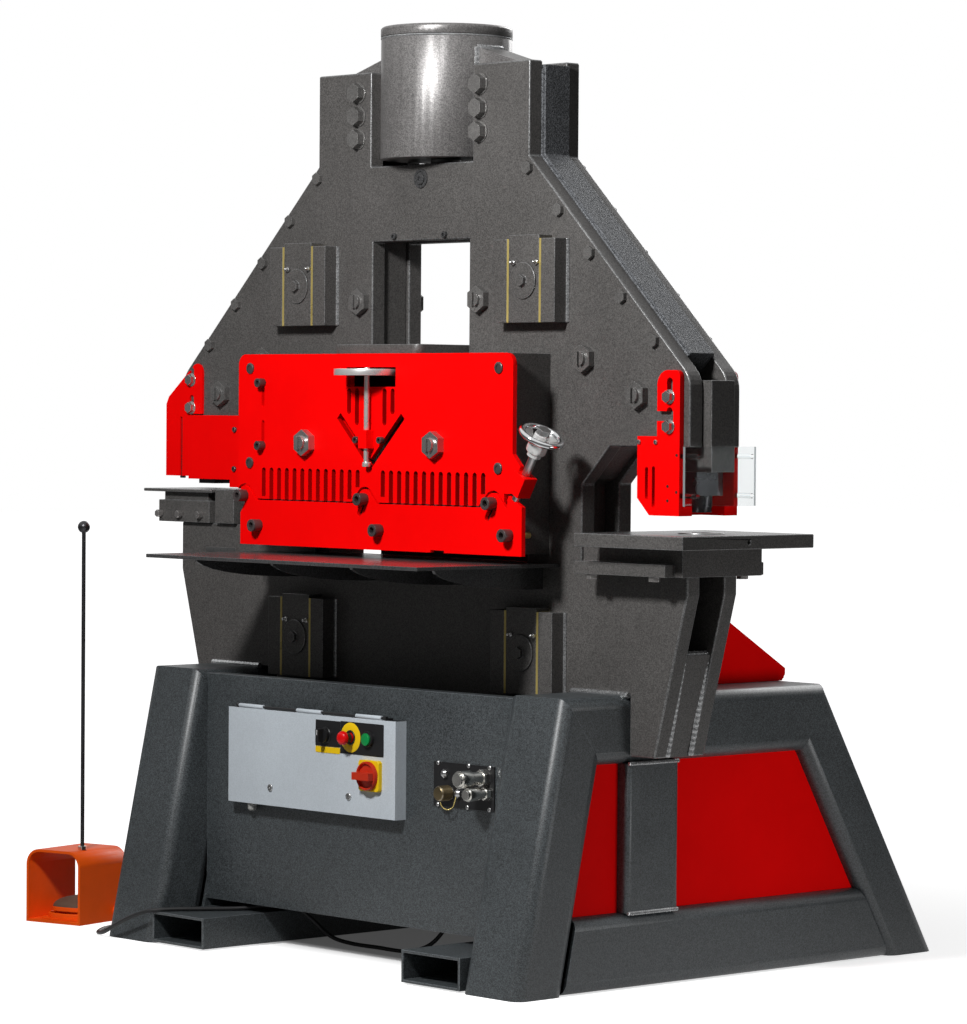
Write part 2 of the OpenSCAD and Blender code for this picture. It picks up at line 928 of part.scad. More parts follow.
module ram_beam() {
  right = [
    [ram_side(ram_top), ram_top], [ram_side(arm_top), arm_top], [arm_out, arm_top],
    [arm_out, arm_low], [arm_out - arm_w, arm_low], [arm_out - arm_w, ram_under],
    [throat_wall + throat_step, ram_under], [throat_wall - 10, ram_under - throat_step],
    [column_out, ram_under - throat_step - 10], [column_out, ram_foot], [column_in, ram_foot],
    [column_in, tie_low]
  ];
  left = [for (i = [len(right) - 1 : -1 : 0]) [-right[i][0], right[i][1]]];
  window_low = platform_z - 14;
  color(frame_grey)
    on_frame()
      plate(-ram_half, ram_t)
        difference() {
          polygon(concat(right, left));
          translate([-window_half - 8, window_low])
            square([2 * window_half + 16, window_top + 10 - window_low]);
          vee_space();
          bar_slot(bar_z - slot_room);
        }
}

module piston_rod() {
  color(steel)
    on_frame() {
      translate([0, 0, ram_top])
        cylinder(d = rod_d, h = piston_low - ram_top + cut, $fn = 96);
      translate([0, 0, piston_low])
        cylinder(d = barrel_id - 2 * run_gap, h = piston_h, $fn = 96);
    }
}

module guide_blocks() {
  lift = 8;
  back = face + 0.3;
  color(frame_grey)
    on_frame()
      for (front = [-1, 1], side = [-1, 1], z = guide_zs) {
        translate([
          side * guide_x - block_w / 2,
          front > 0 ? back : -face - guide_proud,
          z - guide_h / 2
        ])
          cube([block_w, guide_proud - 0.3, guide_h + lift]);
        pin_y(side * guide_x, front > 0 ? ram_half : -back - cut, z, pin_d, back - ram_half + cut);
      }
}

module guide_discs() {
  disc = 77;
  disc_h = 4;
  flats = 22;
  head = 9;
  out = face + guide_proud;
  color(frame_grey)
    on_frame()
      for (front = [-1, 1], side = [-1, 1], z = guide_zs) {
        pin_y(side * guide_x, front > 0 ? out : -out - disc_h, z, disc, disc_h);
        hex_y(side * guide_x, front > 0 ? out + disc_h : -out - disc_h - head, z, flats, head);
      }
}

// Upper blade with a slight rake to its cutting edge, let into the ram's slot
module upper_blade() {
  rake = 12;
  top = bar_z + bar_open;
  color(steel)
    on_frame()
      plate(-ram_half, ram_t / 3)
        polygon([
          [-shear_half + 6, top], [shear_half - 6, top],
          [shear_half - 6, top - 4], [-shear_half + 6, top - 4 - rake]
        ]);
}

module punch_set() {
  nut_low = arm_low - nut_h;
  color(steel)
    on_frame() {
      translate([punch_x, 0, nut_low])
        cylinder(d = nut_af / cos(30), h = nut_h, $fn = 6);
      translate([punch_x, 0, punch_tip])
        cylinder(d = punch_d, h = nut_low - punch_tip);
    }
}

module notch_punch() {
  h = 52;
  color(steel)
    on_frame()
      translate([notch_x - notch_punch_w / 2, -notch_punch_w / 2, arm_low - h])
        cube([notch_punch_w, notch_punch_w, h]);
}

// Tool window platform and shear station

module station_platform() {
  r = 18;
  depth = housing_d + face + platform_back;
  color(frame_grey)
    on_frame()
      translate([0, platform_back - depth / 2, platform_z])
        linear_extrude(platform_t)
          soft_rect(2 * platform_half, depth, r);
}

module shear_housing() {
  color(frame_grey)
    on_frame()
      plate(front_face + housing_wall * 0.6, housing_d - housing_wall * 0.6)
        difference() {
          translate([-housing_half, housing_low])
            square([2 * housing_half, housing_top - housing_low]);
          translate([-housing_half + housing_wall, housing_low - cut])
            square([2 * (housing_half - housing_wall), housing_top - housing_low - housing_wall + cut]);
        }
}

// Slot along the hold-down's lean, from a to b beyond a point
module lean_slot(at, a, b, d) {
  translate(at)
    rotate(-hold_lean) {
      translate([-d / 2, -b])
        square([d, b - a]);
      for (end = [-a, -b])
        translate([0, end])
          circle(d = d);
    }
}

module angle_window() {
  low = disc_z - angle_travel - 6;
  translate([-angle_window_half, low])
    square([2 * angle_window_half, disc_z + disc_t + 4 - low]);
}

module shear_front() {
  color(guard_red)
    on_frame()
      plate(front_face, housing_wall * 0.6)
        difference() {
          translate([-housing_half, housing_low])
            square([2 * housing_half, housing_top - housing_low]);
          vee_space();
          angle_window();
          for (at = hold_bolts)
            if (abs(at[0]) < hold_shank_max)
              lean_slot(at, -1, hold_travel + 1, bolt_d + 1);
        }
}

// Finger of the hold-down plate round one of its guide bolts, g larger all round
module hold_finger(x, g) {
  low = split_z - 1;
  r = ear_r + g;
  foot = r * sqrt(2) + bolt_z - low;
  translate([x, bolt_z])
    circle(r);
  polygon([
    [x - foot, low], [x + foot, low], [x + r / sqrt(2), bolt_z + r / sqrt(2)],
    [x - r / sqrt(2), bolt_z + r / sqrt(2)]
  ]);
}

// Slot of the guard's comb, ending above the nearest finger's flank or at the guard's lower edge
module comb_slot(x, high, w) {
  flank = bolt_z + (ear_r + 24) * sqrt(2);
  ends = [for (bx = bolt_xs) flank - abs(x - bx) + (x < bx ? -16 : 0)];
  low = max(concat([split_z - cut], ends));
  if (low < high - 2 * w) {
    translate([x - w / 2, low])
      square([w, high - w / 2 - low]);
    translate([x, high - w / 2])
      circle(d = w);
  }
}

module guard_plate() {
  slots = 13;
  slot_w = 13;
  slot_pitch = 26.4;
  slot_high = 452;
  slot_first = 358;
  right_x = hold_tip[0] - hold_dir[0] * collar_at - cos(hold_lean) * collar_w / 2;
  right_z = hold_tip[1] - hold_dir[1] * collar_at + sin(hold_lean) * collar_w / 2;
  half_l = collar_l / 2;
  top_z = right_z - hold_dir[1] * half_l;
  top_x = right_x - hold_dir[0] * half_l;
  color(guard_red)
    on_frame()
      plate(guard_face, guard_t)
        difference() {
          union() {
            translate([0, (housing_top + split_z + split_gap) / 2])
              soft_rect(2 * guard_half, housing_top - split_z - split_gap, guard_r);
            translate([-guard_half, split_z + split_gap])
              square([2 * guard_half, 60]);
            polygon([
              [guard_half - 1, top_z + 34], [top_x + 4, top_z + 8], [top_x, top_z],
              [right_x + hold_dir[0] * half_l, right_z + hold_dir[1] * half_l],
              [guard_half - 1, right_z + hold_dir[1] * half_l - 6]
            ]);
          }
          for (x = bolt_xs)
            hold_finger(x, split_gap + 2);
          translate([pad_left - 10, split_z - cut])
            square([60, hold_tip[1] + 14 - split_z]);
          translate(hold_tip - hold_dir * collar_at)
            rotate(-hold_lean)
              square([collar_w, collar_l], center = true);
          vee_band(vee_z, vee_half, vee_slot);
          angle_window();
          for (side = [-1, 1], i = [0 : slots - 1])
            comb_slot(side * (slot_first - i * slot_pitch), slot_high, slot_w);
          for (side = [-1, 1]) {
            upright_slot(side * 71, 578, 42, 13);
            upright_slot(side * 45, 554, 66, 13);
          }
          upright_slot(-362, 590, 46, 10);
          upright_slot(-362, 505, 46, 10);
        }
}

module socket_head(x, z, d, h, y) {
  difference() {
    pin_y(x, y - h, z, d, h);
    hex_y(x, y - h - cut, z, d * 0.5, h * 0.6 + cut);
  }
}

// Screws of the guard plate and the slotted tie nuts
module guard_screws() {
  nut_flats = 50;
  nut_t = 18;
  stud_d = 30;
  stud_h = 8;
  color(black_oxide)
    on_frame() {
      for (side = [-1, 1], z = [670, 462])
        pin_y(side * 405, guard_face - 2.5, z, 24, 2.5);
      for (side = [-1, 1])
        difference() {
          union() {
            hex_y(side * 210, guard_face - nut_t, 508, nut_flats, nut_t);
            pin_y(side * 210, guard_face - nut_t - stud_h, 508, stud_d, nut_t);
          }
          translate([side * 210 - 3, guard_face - nut_t - stud_h - cut, 480])
            cube([6, stud_h, 56]);
        }
      for (z = [638, 500])
        socket_head(-362, z, 20, 18, guard_face);
      for (side = [-1, 1])
        socket_head(side * 39, angle_block_z + 18, 15, 12, guard_face);
    }
}

module lower_blade() {
  color(steel)
    on_frame()
      plate(-face, plate_t)
        translate([-shear_half, bar_z - blade_h])
          square([2 * shear_half, blade_h]);
}

module holddown_plate() {
  tip = hold_tip + hold_dir * run_gap;
  fall = tan(hold_lean);
  bar_mark_x = 195;
  bar_mark_w = 42;
  bar_mark_h = 5;
  color(guard_red)
    on_frame()
      plate(guard_face, guard_t - slide_gap)
        difference() {
          union() {
            translate([hold_left, hold_low])
              square([hold_right - hold_left, split_z - hold_low]);
            intersection() {
              for (x = bolt_xs)
                hold_finger(x, 0);
              translate([hold_left, hold_low])
                square([hold_right - hold_left, housing_top - hold_low]);
            }
            polygon([
              [pad_left, split_z - cut], [hold_right, split_z - cut],
              [hold_right, tip[1] + (tip[0] - hold_right) * fall],
              [pad_left + 4, tip[1] + (tip[0] - pad_left - 4) * fall], [pad_left, tip[1]]
            ]);
          }
          for (x = bolt_xs)
            lean_slot([x - 5, bolt_z - 8], 0, 26, 14);
          translate([bar_mark_x, hold_low - cut])
            square([bar_mark_w, bar_mark_h + cut]);
        }
}

module holddown_bolts() {
  color(black_oxide)
    on_frame()
      for (at = hold_bolts) {
        socket_head(at[0], at[1], bolt_head_d, bolt_head_h, guard_face);
        if (abs(at[0]) < hold_shank_max)
          pin_y(at[0], front_face, at[1], bolt_d, housing_wall * 0.6);
      }
}

// Turns children from upright to the hold-down screw's lean, at a distance from its tip
module on_hold_screw(at) {
  translate([hold_tip[0] - hold_dir[0] * at, hold_y, hold_tip[1] - hold_dir[1] * at])
    rotate([0, hold_lean, 0])
      children();
}

module holddown_screw() {
  color(steel)
    on_frame()
      on_hold_screw(0) {
        cylinder(d = hold_screw_d, h = wheel_at + 14);
        translate([0, 0, wheel_at + 8])
          cylinder(d = 26 / cos(30), h = 12, $fn = 6);
      }
}

module holddown_wheel() {
  r = wheel_d / 2;
  hub = 17;
  bore = hold_screw_d / 2;
  color(steel)
    on_frame()
      on_hold_screw(wheel_at)
        rotate_extrude($fn = 64)
          polygon([
            [bore, -16], [hub, -16], [hub, -2], [r - 14, 0], [r - 8, -8], [r - 1, -8],
            [r, -6], [r, 8], [r - 2, 10], [r - 8, 10], [r - 12, 5], [hub, 4], [hub, 8], [bore, 8]
          ]);
}

module screw_blocks() {
  depth = angle_screw_d + 12;
  color(guard_red)
    on_frame() {
      on_hold_screw(collar_at - collar_l / 2)
        difference() {
          translate([-collar_w / 2, -collar_w / 2, 0])
            cube([collar_w, collar_w, collar_l]);
          translate([0, 0, -cut])
            cylinder(d = hold_screw_d + 2 * run_gap, h = collar_l + 2 * cut);
        }
      difference() {
        translate([-angle_block_w / 2, guard_face - depth, angle_block_z])
          cube([angle_block_w, depth, angle_block_h]);
        translate([0, angle_y, angle_block_z - cut])
          cylinder(d = angle_screw_d + 2 * run_gap, h = angle_block_h + 2 * cut);
      }
    }
}

module angle_pad() {
  color(black_oxide)
    on_frame()
      translate([0, angle_y, angle_tip - angle_pad_h])
        cylinder(d = angle_screw_d + 6, h = angle_pad_h - run_gap);
}

module angle_screw() {
  color(steel)
    on_frame()
      translate([0, angle_y, angle_tip]) {
        cylinder(d = angle_screw_d, h = disc_z - angle_tip + disc_t + 3);
        translate([0, 0, disc_z - angle_tip])
          cylinder(d = disc_d, h = disc_t, $fn = 96);
      }
}

module feed_table() {
  web = 8;
  drop = 48;
  reach = 308;
  arch_cuts = 8;
  back = -face;
  under = bar_z - feed_t;
  arch = [
    for (i = [0 : arch_cuts])
      let (a = 90 * i / arch_cuts)
        [back - reach * sin(a), under - drop * cos(a)]
  ];
  color(frame_grey)
    on_frame() {
      translate([-feed_half, back - feed_reach, under])
        cube([2 * feed_half, feed_reach, feed_t]);
      for (x = [-390, -130, 130, 390])
        side_plate(x - web / 2, web)
          polygon(concat([[back, under]], arch));
    }
}

// Punch station

module punch_table() {
  color(frame_grey)
    on_frame()
      difference() {
        translate([table_out - table_w, -table_half, table_z])
          cube([table_w, 2 * table_half, table_t]);
        translate([punch_x, 0, table_z - cut])
          cylinder(d = die_d + 2 * run_gap, h = table_t + 2 * cut, $fn = 64);
        translate([table_out - 20, 0, table_z + table_t / 2])
          rotate([0, 90, 0])
            cylinder(d = 9, h = 20 + cut);
      }
}

module bolster() {
  flange = 26;
  bore = punch_d + 14;
  color(frame_grey)
    on_frame()
      difference() {
        union() {
          translate([560, -115, seat_z])
            cube([287, 230, bolster_h]);
          translate([560, -bolster_half, seat_z])
            cube([265, 2 * bolster_half, flange]);
        }
        translate([punch_x, 0, seat_z - cut])
          cylinder(d = bore, h = bolster_h + 2 * cut);
      }
}

module die() {
  color(steel)
    on_frame()
      difference() {
        translate([punch_x, 0, table_z])
          cylinder(d = die_d, h = die_top - table_z, $fn = 64);
        translate([punch_x, 0, table_z - cut])
          cylinder(d = punch_d + 2 * die_gap, h = die_top - table_z + 2 * cut);
      }
}

// Stripper: a slotted plate on each side of the frame joined by a forked bottom plate
module stripper() {
  floor_t = 20;
  floor_left = stripper_left + 35;
  mouth = nut_af / cos(30) + 6;
  mouth_left = punch_x - mouth / 2;
  round = 14;
  big_round = 30;
  notch_low = 563;
  notch_h = 20;
  notch_d = 46;
  side_face = face + 0.3;
  out = side_face + strip_plate_t;
  color(guard_red)
    on_frame() {
      for (front = [-1, 1])
        plate(front > 0 ? side_face : -out, strip_plate_t)
          difference() {
            union() {
              polygon([
                [floor_left, stripper_low], [stripper_right, stripper_low],
                [stripper_right, tab_top - round], [tab_left + big_round, tab_top - round],
                [tab_left + big_round, tab_top - big_round], [tab_left, tab_top - big_round],
                [tab_left, stripper_top], [stripper_left, stripper_top], [stripper_left, stripper_low + 35]
              ]);
              translate([tab_left + big_round, tab_top - 2 * round])
                square([stripper_right - tab_left - big_round - round, 2 * round]);
              translate([tab_left + big_round, tab_top - big_round])
                circle(big_round);
              translate([stripper_right - round, tab_top - round])
                circle(round);
            }
            translate([tab_left - cut, notch_low])
              square([notch_d + cut, notch_h]);
            for (z = tab_bolts)
              upright_slot(tab_bolt_x, z - 1, stripper_travel + 2, 16);
            upright_slot(711, 407, 58, 8);
            upright_slot(731, 390, 77, 8);
          }
      translate([0, 0, stripper_low])
        linear_extrude(floor_t)
          polygon([
            [floor_left, -side_face], [stripper_right, -side_face], [stripper_right, -mouth / 2],
            [mouth_left, -mouth / 2], [mouth_left, mouth / 2], [stripper_right, mouth / 2],
            [stripper_right, side_face], [floor_left, side_face]
          ]);
    }
}

module punch_guard() {
  low = 392;
  high = 512;
  front = 120;
  back = 84;
  color([0.85, 0.9, 0.92, 0.4])
    on_frame()
      translate([stripper_right, 0, 0]) {
        translate([guard_at - stripper_right, -front, low])
          cube([clear_t, front + back, high - low]);
        for (y = [-1, 1], z = [low + 20, high - 20])
          translate([0, y * (face + strip_plate_t / 2), z])
            rotate([0, 90, 0])
              cylinder(d = 10, h = guard_at - stripper_right);
      }
}

// Bolts of the stripper and notcher guards, with the bolts of the bolster and notcher block
module tool_bolts() {
  flats = 22;
  head = 10;
  shank = 15;
  washer_d = 30;
  washer_t = 2;
  gap = 0.3;
  stud_flats = 15;
  stud_l = 14;
  guides = concat(
    [for (z = tab_bolts) [tab_bolt_x, z, strip_plate_t]],
    [for (at = notch_bolts) [at[0], at[1], notch_plate_t]]
  );
  color(black_oxide)
    on_frame() {
      for (front = [-1, 1], at = guides) {
        out = face + gap + at[2] + gap;
        pin_y(at[0], front > 0 ? face : -out - cut, at[1], shank, out - face + cut);
        pin_y(at[0], front > 0 ? out : -out - washer_t, at[1], washer_d, washer_t);
        hex_y(at[0], front > 0 ? out + washer_t : -out - washer_t - head, at[1], flats, head);
      }
      for (side = [-1, 1], x = [600, 780])
        translate([x, side * (bolster_half - 16), seat_z - head])
          cylinder(d = flats / cos(30), h = head, $fn = 6);
      for (x = [-884, -810, -736], front = [-1, 1])
        hex_y(x, front > 0 ? block_half : -block_half - stud_l, notch_seat + 18, stud_flats, stud_l);
    }
}

// Notcher station

module notch_table() {
  color(frame_grey)
    on_frame()
      difference() {
        translate([-938, -95, notch_table_z])
          cube([251, 190, notch_table_t]);
        notch_opening(notch_table_z, notch_table_t);
      }
}

module notch_opening(z, h) {
  w = notch_punch_w + 2 * notch_gap;
  translate([notch_x - w / 2, -w / 2, z - cut])
    cube([w, w, h + 2 * cut]);
}

module notch_block() {
  step = 50;
  color(frame_grey)
    on_frame()
      difference() {
        union() {
          translate([-893, -block_half, notch_seat])
            cube([186, 2 * block_half, step]);
          translate([-880, -block_half + 7, notch_seat])
            cube([160, 2 * block_half - 14, notch_block_h]);
          translate([-686, -block_half, notch_seat])
            cube([68, 2 * block_half, notch_block_h + notch_table_t]);
        }
        notch_opening(notch_seat, notch_block_h);
      }
}

module notch_guard() {
  side_face = face + 0.3;
  out = side_face + notch_plate_t;
  round = 20;
  color(guard_red)
    on_frame()
      for (front = [-1, 1])
        plate(front > 0 ? side_face : -out, notch_plate_t)
          difference() {
            union() {
              polygon([
                [-877, 425], [-790, 425], [-790, 568], [-744, 568], [-744, 683 - round],
                [-764 - round * 0.67, 683 - round + round * 0.74], [-868, 607], [-877, 590]
              ]);
              translate([-744 - round, 683 - round])
                circle(round);
            }
            for (at = notch_bolts)
              upright_slot(at[0], at[1] - 1, notch_travel + 2, 16);
            translate([-826, 425 - cut])
              square([9, 132 + cut]);
            translate([-821.5, 557])
              circle(4.5);
          }
}

// Covers beside the notcher's throat, standing clear of the guard that slides behind them
module notch_cover() {
  cover_t = 14;
  skin = 8;
  foot_left = -735;
  right = -560;
  low = 419;
  high = 565;
  color(guard_red)
    on_frame()
      for (front = [-1, 1]) {
        plate(front > 0 ? face + cover_t - skin : -face - cover_t, skin)
          polygon([[-783, low], [-633, low], [-633, 402], [right, 402], [right, high], [-783, high]]);
        plate(front > 0 ? face : -face - cover_t, cover_t)
          translate([foot_left, low])
            square([right - foot_left, high - low]);
      }
}

// Controls

module control_box() {
  depth = box_proud + box_deep;
  color([0.58, 0.62, 0.66]) {
    difference() {
      translate([box_x - box_w / 2, box_front, box_low])
        cube([box_w, depth, box_h]);
      translate([box_x - box_w / 2 + box_wall, box_front - cut, box_low + box_wall])
        cube([box_w - 2 * box_wall, depth - box_wall + cut, box_h - 2 * box_wall]);
    }
    pin_l = 2 * knuckle_pitch + knuckle_w + 24;
    translate([box_x - pin_l / 2, hinge_y, hinge_z])
      rotate([0, 90, 0])
        cylinder(d = hinge_d, h = pin_l);
    for (side = [-1, 1]) {
      x = box_x + side * (pin_l / 2 - 4) - 4;
      translate([x, hinge_y, hinge_z])
        rotate([0, 90, 0])
          cylinder(d = knuckle_d, h = 8);
      translate([x, box_front, box_top - 1])
        cube([8, 16, hinge_z - box_top + 1]);
    }
  }
}

module control_gear() {
  back = panel_y + box_deep - box_wall;
  color([0.75, 0.75, 0.72]) {
    translate([box_x - 0.43 * box_w, back - 3, box_low + 20])
      cube([0.86 * box_w, 3, box_h - 40]);
    for (i = [0 : 2])
      translate([box_x + (0.125 * i - 0.39) * box_w, back - 53, box_z - 45])
        cube([0.1 * box_w, 50, 90]);
    translate([box_x + 0.05 * box_w, back - 33, box_z - 70])
      cube([0.34 * box_w, 30, 40]);
  }
}

module control_lid() {
  gap = 0.3;
  holes = [
    [knob_x, button_z, 22], [estop_x, button_z, 24], [start_x, button_z, 24], [handle_x, handle_z, 12]
  ];
  color([0.58, 0.62, 0.66]) {
    difference() {
      translate([box_x - box_w / 2, lid_front, box_low])
        cube([box_w, lid_t, box_h]);
      for (h = holes)
        pin_y(h[0], lid_front - cut, h[1], h[2] + 2 * run_gap, lid_t + 2 * cut);
    }
    for (i = [-1 : 1])
      translate([box_x - 4 + i * knuckle_pitch - knuckle_w / 2, 0, 0])
        difference() {
          union() {
            translate([0, hinge_y, hinge_z])
              rotate([0, 90, 0])
                cylinder(d = knuckle_d, h = knuckle_w);
            translate([0, lid_front, box_top - 1])
              cube([knuckle_w, lid_t, hinge_z - box_top + 1]);
          }
          translate([-cut, hinge_y, hinge_z])
            rotate([0, 90, 0])
              cylinder(d = hinge_d + 2 * run_gap, h = knuckle_w + 2 * cut);
        }
  }
}

module push_button(x, z, d, head_d, head_h) {
  stem = button_travel + 4;
  pin_y(x, lid_front - stem, z, d, stem + lid_t + 6);
  pin_y(x, lid_front - stem - head_h, z, head_d, head_h);
}

module estop_button() {
  color([0.8, 0.05, 0.05])
    push_button(estop_x, button_z, 24, estop_d, 16);
}

module start_button() {
  color([0.1, 0.5, 0.2])
    push_button(start_x, button_z, 24, 26, 5);
}

module selector_knob() {
  color(black_oxide) {
    pin_y(knob_x, lid_front - 0.3, button_z, 22, lid_t + 6);
    pin_y(knob_x, lid_front - 12, button_z, 30, 11.7);
    translate([knob_x - 5, lid_front - 26, button_z - 14])
      cube([10, 15, 28]);
  }
}

module disconnect_handle() {
  color([0.8, 0.05, 0.05]) {
    pin_y(handle_x, lid_front - 0.3, handle_z, 12, lid_t + 6);
    pin_y(handle_x, lid_front - 14, handle_z, 46, 13.7);
    translate([handle_x - 27, lid_front - 34, handle_z - 8])
      cube([54, 21, 16]);
  }
}

module couplers() {
  plate_w = 188;
  plate_h2 = 93;
  plate_front = panel_y - 3;
  nut_l = 15;
  sleeve_l = 30;
  cap_l = 30;
  // Place on the plate, length and sleeve diameter of each hose coupler
  hoses = [[65, 22, 79, 36], [76, -9, 65, 28]];
  color(steel) {
    plate(plate_front, 3)
      translate([coupler_x - plate_w / 2, coupler_z - plate_h2 / 2])
        square([plate_w, plate_h2]);
    for (hose = hoses) {
      x = coupler_x + hose[0];
      z = coupler_z + hose[1];
      pin_y(x, plate_front - hose[2], z, 0.78 * hose[3], hose[2]);
      pin_y(x, plate_front - hose[2] + 6, z, hose[3], sleeve_l);
      hex_y(x, plate_front - nut_l, z, 0.9 * hose[3], nut_l);
    }
    pin_y(coupler_x - 46, plate_front - cap_l, coupler_z - 17, 30, cap_l);
  }
}

// Foot switch

module arch_shape(w, h, r) {
  translate([-w / 2, 0])
    square([w, h - r]);
  translate([-w / 2 + r, 0])
    square([w - 2 * r, h]);
  for (x = [-1, 1])
    translate([x * (w / 2 - r), h - r])
      circle(r);
}

pedal_y = hood_d / 2 - 22;
pedal_z = 30;
pedal_pin = 10;

module switch_hood() {
  r = 36;
  color([0.9, 0.33, 0.08])
    on_switch() {
      difference() {
        plate(-hood_d / 2, hood_d)
          difference() {
            arch_shape(hood_w, hood_h, r);
            translate([0, hood_wall])
              arch_shape(hood_w - 2 * hood_wall, hood_h - 2 * hood_wall, r - hood_wall);
          }
        translate([carry_at[0], carry_at[1], hood_h - 20])
          cylinder(d = carry_d, h = 40);
      }
      translate([-hood_w / 2 + 1, pedal_y, pedal_z])
        rotate([0, 90, 0])
          cylinder(d = pedal_pin, h = hood_w - 2);
      translate(gland_at)
        rotate([0, 90, 0])
          difference() {
            translate([0, 0, -1])
              cylinder(d = 20, h = gland_l + 1);
            translate([0, 0, gland_l - 8])
              cylinder(d = cord_d + 0.4, h = 10);
          }
    }
}

module pedal() {
  w = hood_w - 2 * hood_wall - 14;
  barrel = pedal_pin + 8;
  reach = hood_d - 50;
  color(black_oxide)
    on_switch()
      difference() {
        union() {
          translate([-w / 2, pedal_y, pedal_z])
            rotate([0, 90, 0])
              cylinder(d = barrel, h = w);
          side_plate(-w / 2, w)
            polygon([
              [pedal_y, pedal_z + 9], [pedal_y - reach, pedal_z + 22],
              [pedal_y - reach, pedal_z + 8], [pedal_y, pedal_z - 5]
            ]);
        }
        translate([-w / 2 - cut, pedal_y, pedal_z])
          rotate([0, 90, 0])
            cylinder(d = pedal_pin + 2 * run_gap, h = w + 2 * cut);
      }
}

module carry_rod() {
  low = hood_h - hood_wall;
  color(steel)
    on_switch()
      translate([carry_at[0], carry_at[1], 0]) {
        translate([0, 0, low])
          cylinder(d = carry_d, h = carry_len + hood_wall);
        translate([0, 0, hood_h])
          cylinder(d = 18 / cos(30), h = 9, $fn = 6);
        translate([0, 0, hood_h + carry_len])
          sphere(d = ball_d, $fn = 32);
      }
}

// Smooth curve through the cord's route
function curve(a, b, c, d, t) = 0.5 * (
  2 * b + (c - a) * t + (2 * a - 5 * b + 4 * c - d) * t * t + (3 * b - a - 3 * c + d) * t * t * t
);
function unit(v) = v / norm(v);
function clamp_at(i) = cord_route[max(0, min(len(cord_route) - 1, i))];
cord_cuts = 3;
cord_sides = 10;
cord_path = concat(
  [
    for (i = [0 : len(cord_route) - 2], k = [0 : cord_cuts - 1])
      curve(clamp_at(i - 1), clamp_at(i), clamp_at(i + 1), clamp_at(i + 2), k / cord_cuts)
  ],
  [cord_route[len(cord_route) - 1]]
);
cord_n = len(cord_path);
function along(i) = unit(cord_path[min(i + 1, cord_n - 1)] - cord_path[max(i - 1, 0)]);
function across(v, t) = unit(v - t * (v * t));
cord_across = [
  for (
    i = 0, v = across([1, 0, 0], along(0));
    i < cord_n;
    i = i + 1, v = across(v, along(min(i, cord_n - 1)))
  )
    v
];

module cord() {
  points = [
    for (i = [0 : cord_n - 1], k = [0 : cord_sides - 1])
      let (u = cord_across[i], w = cross(along(i), u), a = 360 * k / cord_sides)
        cord_path[i] + cord_d / 2 * (cos(a) * u + sin(a) * w)
  ];
  sides = [
    for (i = [0 : cord_n - 2], k = [0 : cord_sides - 1])
      let (n = (k + 1) % cord_sides)
        [i * cord_sides + k, (i + 1) * cord_sides + k, (i + 1) * cord_sides + n, i * cord_sides + n]
  ];
  first = [for (k = [0 : cord_sides - 1]) k];
  last = [for (k = [cord_sides - 1 : -1 : 0]) (cord_n - 1) * cord_sides + k];
  color(black_oxide)
    polyhedron(points, concat(sides, [first, last]));
}

// Hydraulic tank with the pump motor beside it, standing on the tray
module hydraulic_unit() {
  low = tray_z + sheet;
  tank = [1.02 * inner_half, 360, 300];
  tank_x = -0.85 * inner_half;
  motor_x = 0.3 * inner_half;
  motor_y = 145;
  motor_d = 180;
  motor_l = 0.47 * inner_half;
  foot = 20;
  axle = low + foot + motor_d / 2 - 6;
  color(base_grey) {
    difference() {
      translate([tank_x, -150, low])
        cube(tank);
      translate([tank_x + sheet, -150 + sheet, low + sheet])
        cube([tank[0] - 2 * sheet, tank[1] - 2 * sheet, tank[2] - 2 * sheet]);
      translate([tank_x + 100, 130, low + tank[2] - 10])
        cylinder(d = 60, h = 20);
    }
    translate([motor_x, motor_y - 85, low])
      cube([motor_l, 170, foot]);
    translate([motor_x, motor_y, axle])
      rotate([0, 90, 0])
        cylinder(d = motor_d, h = motor_l);
    translate([tank_x + tank[0] - cut, motor_y, axle])
      rotate([0, 90, 0])
        cylinder(d = 90, h = motor_x - tank_x - tank[0] + 2 * cut);
  }
}

legs();
side_rails();
side_panels();
fork_pockets();
cross_members();
front_panel();
rear_panel();
rear_chute();
front_plate();
rear_plate();
spacer_bars();
frame_bolts();
cylinder_barrel();
cylinder_cap();
guide_cheeks();
brass_strips();
ram_beam();
piston_rod();
guide_blocks();
guide_discs();
upper_blade();
punch_set();
notch_punch();
station_platform();
shear_housing();
shear_front();
guard_plate();
guard_screws();
lower_blade();
holddown_plate();
holddown_bolts();
holddown_screw();
holddown_wheel();
screw_blocks();
angle_pad();
angle_screw();
feed_table();
punch_table();
bolster();
die();
stripper();
punch_guard();
tool_bolts();
notch_table();
notch_block();
notch_guard();
notch_cover();
control_box();
control_gear();
control_lid();
estop_button();
start_button();
selector_knob();
disconnect_handle();
couplers();
switch_hood();
pedal();
carry_rod();
cord();
hydraulic_unit();
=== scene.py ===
import json
import math

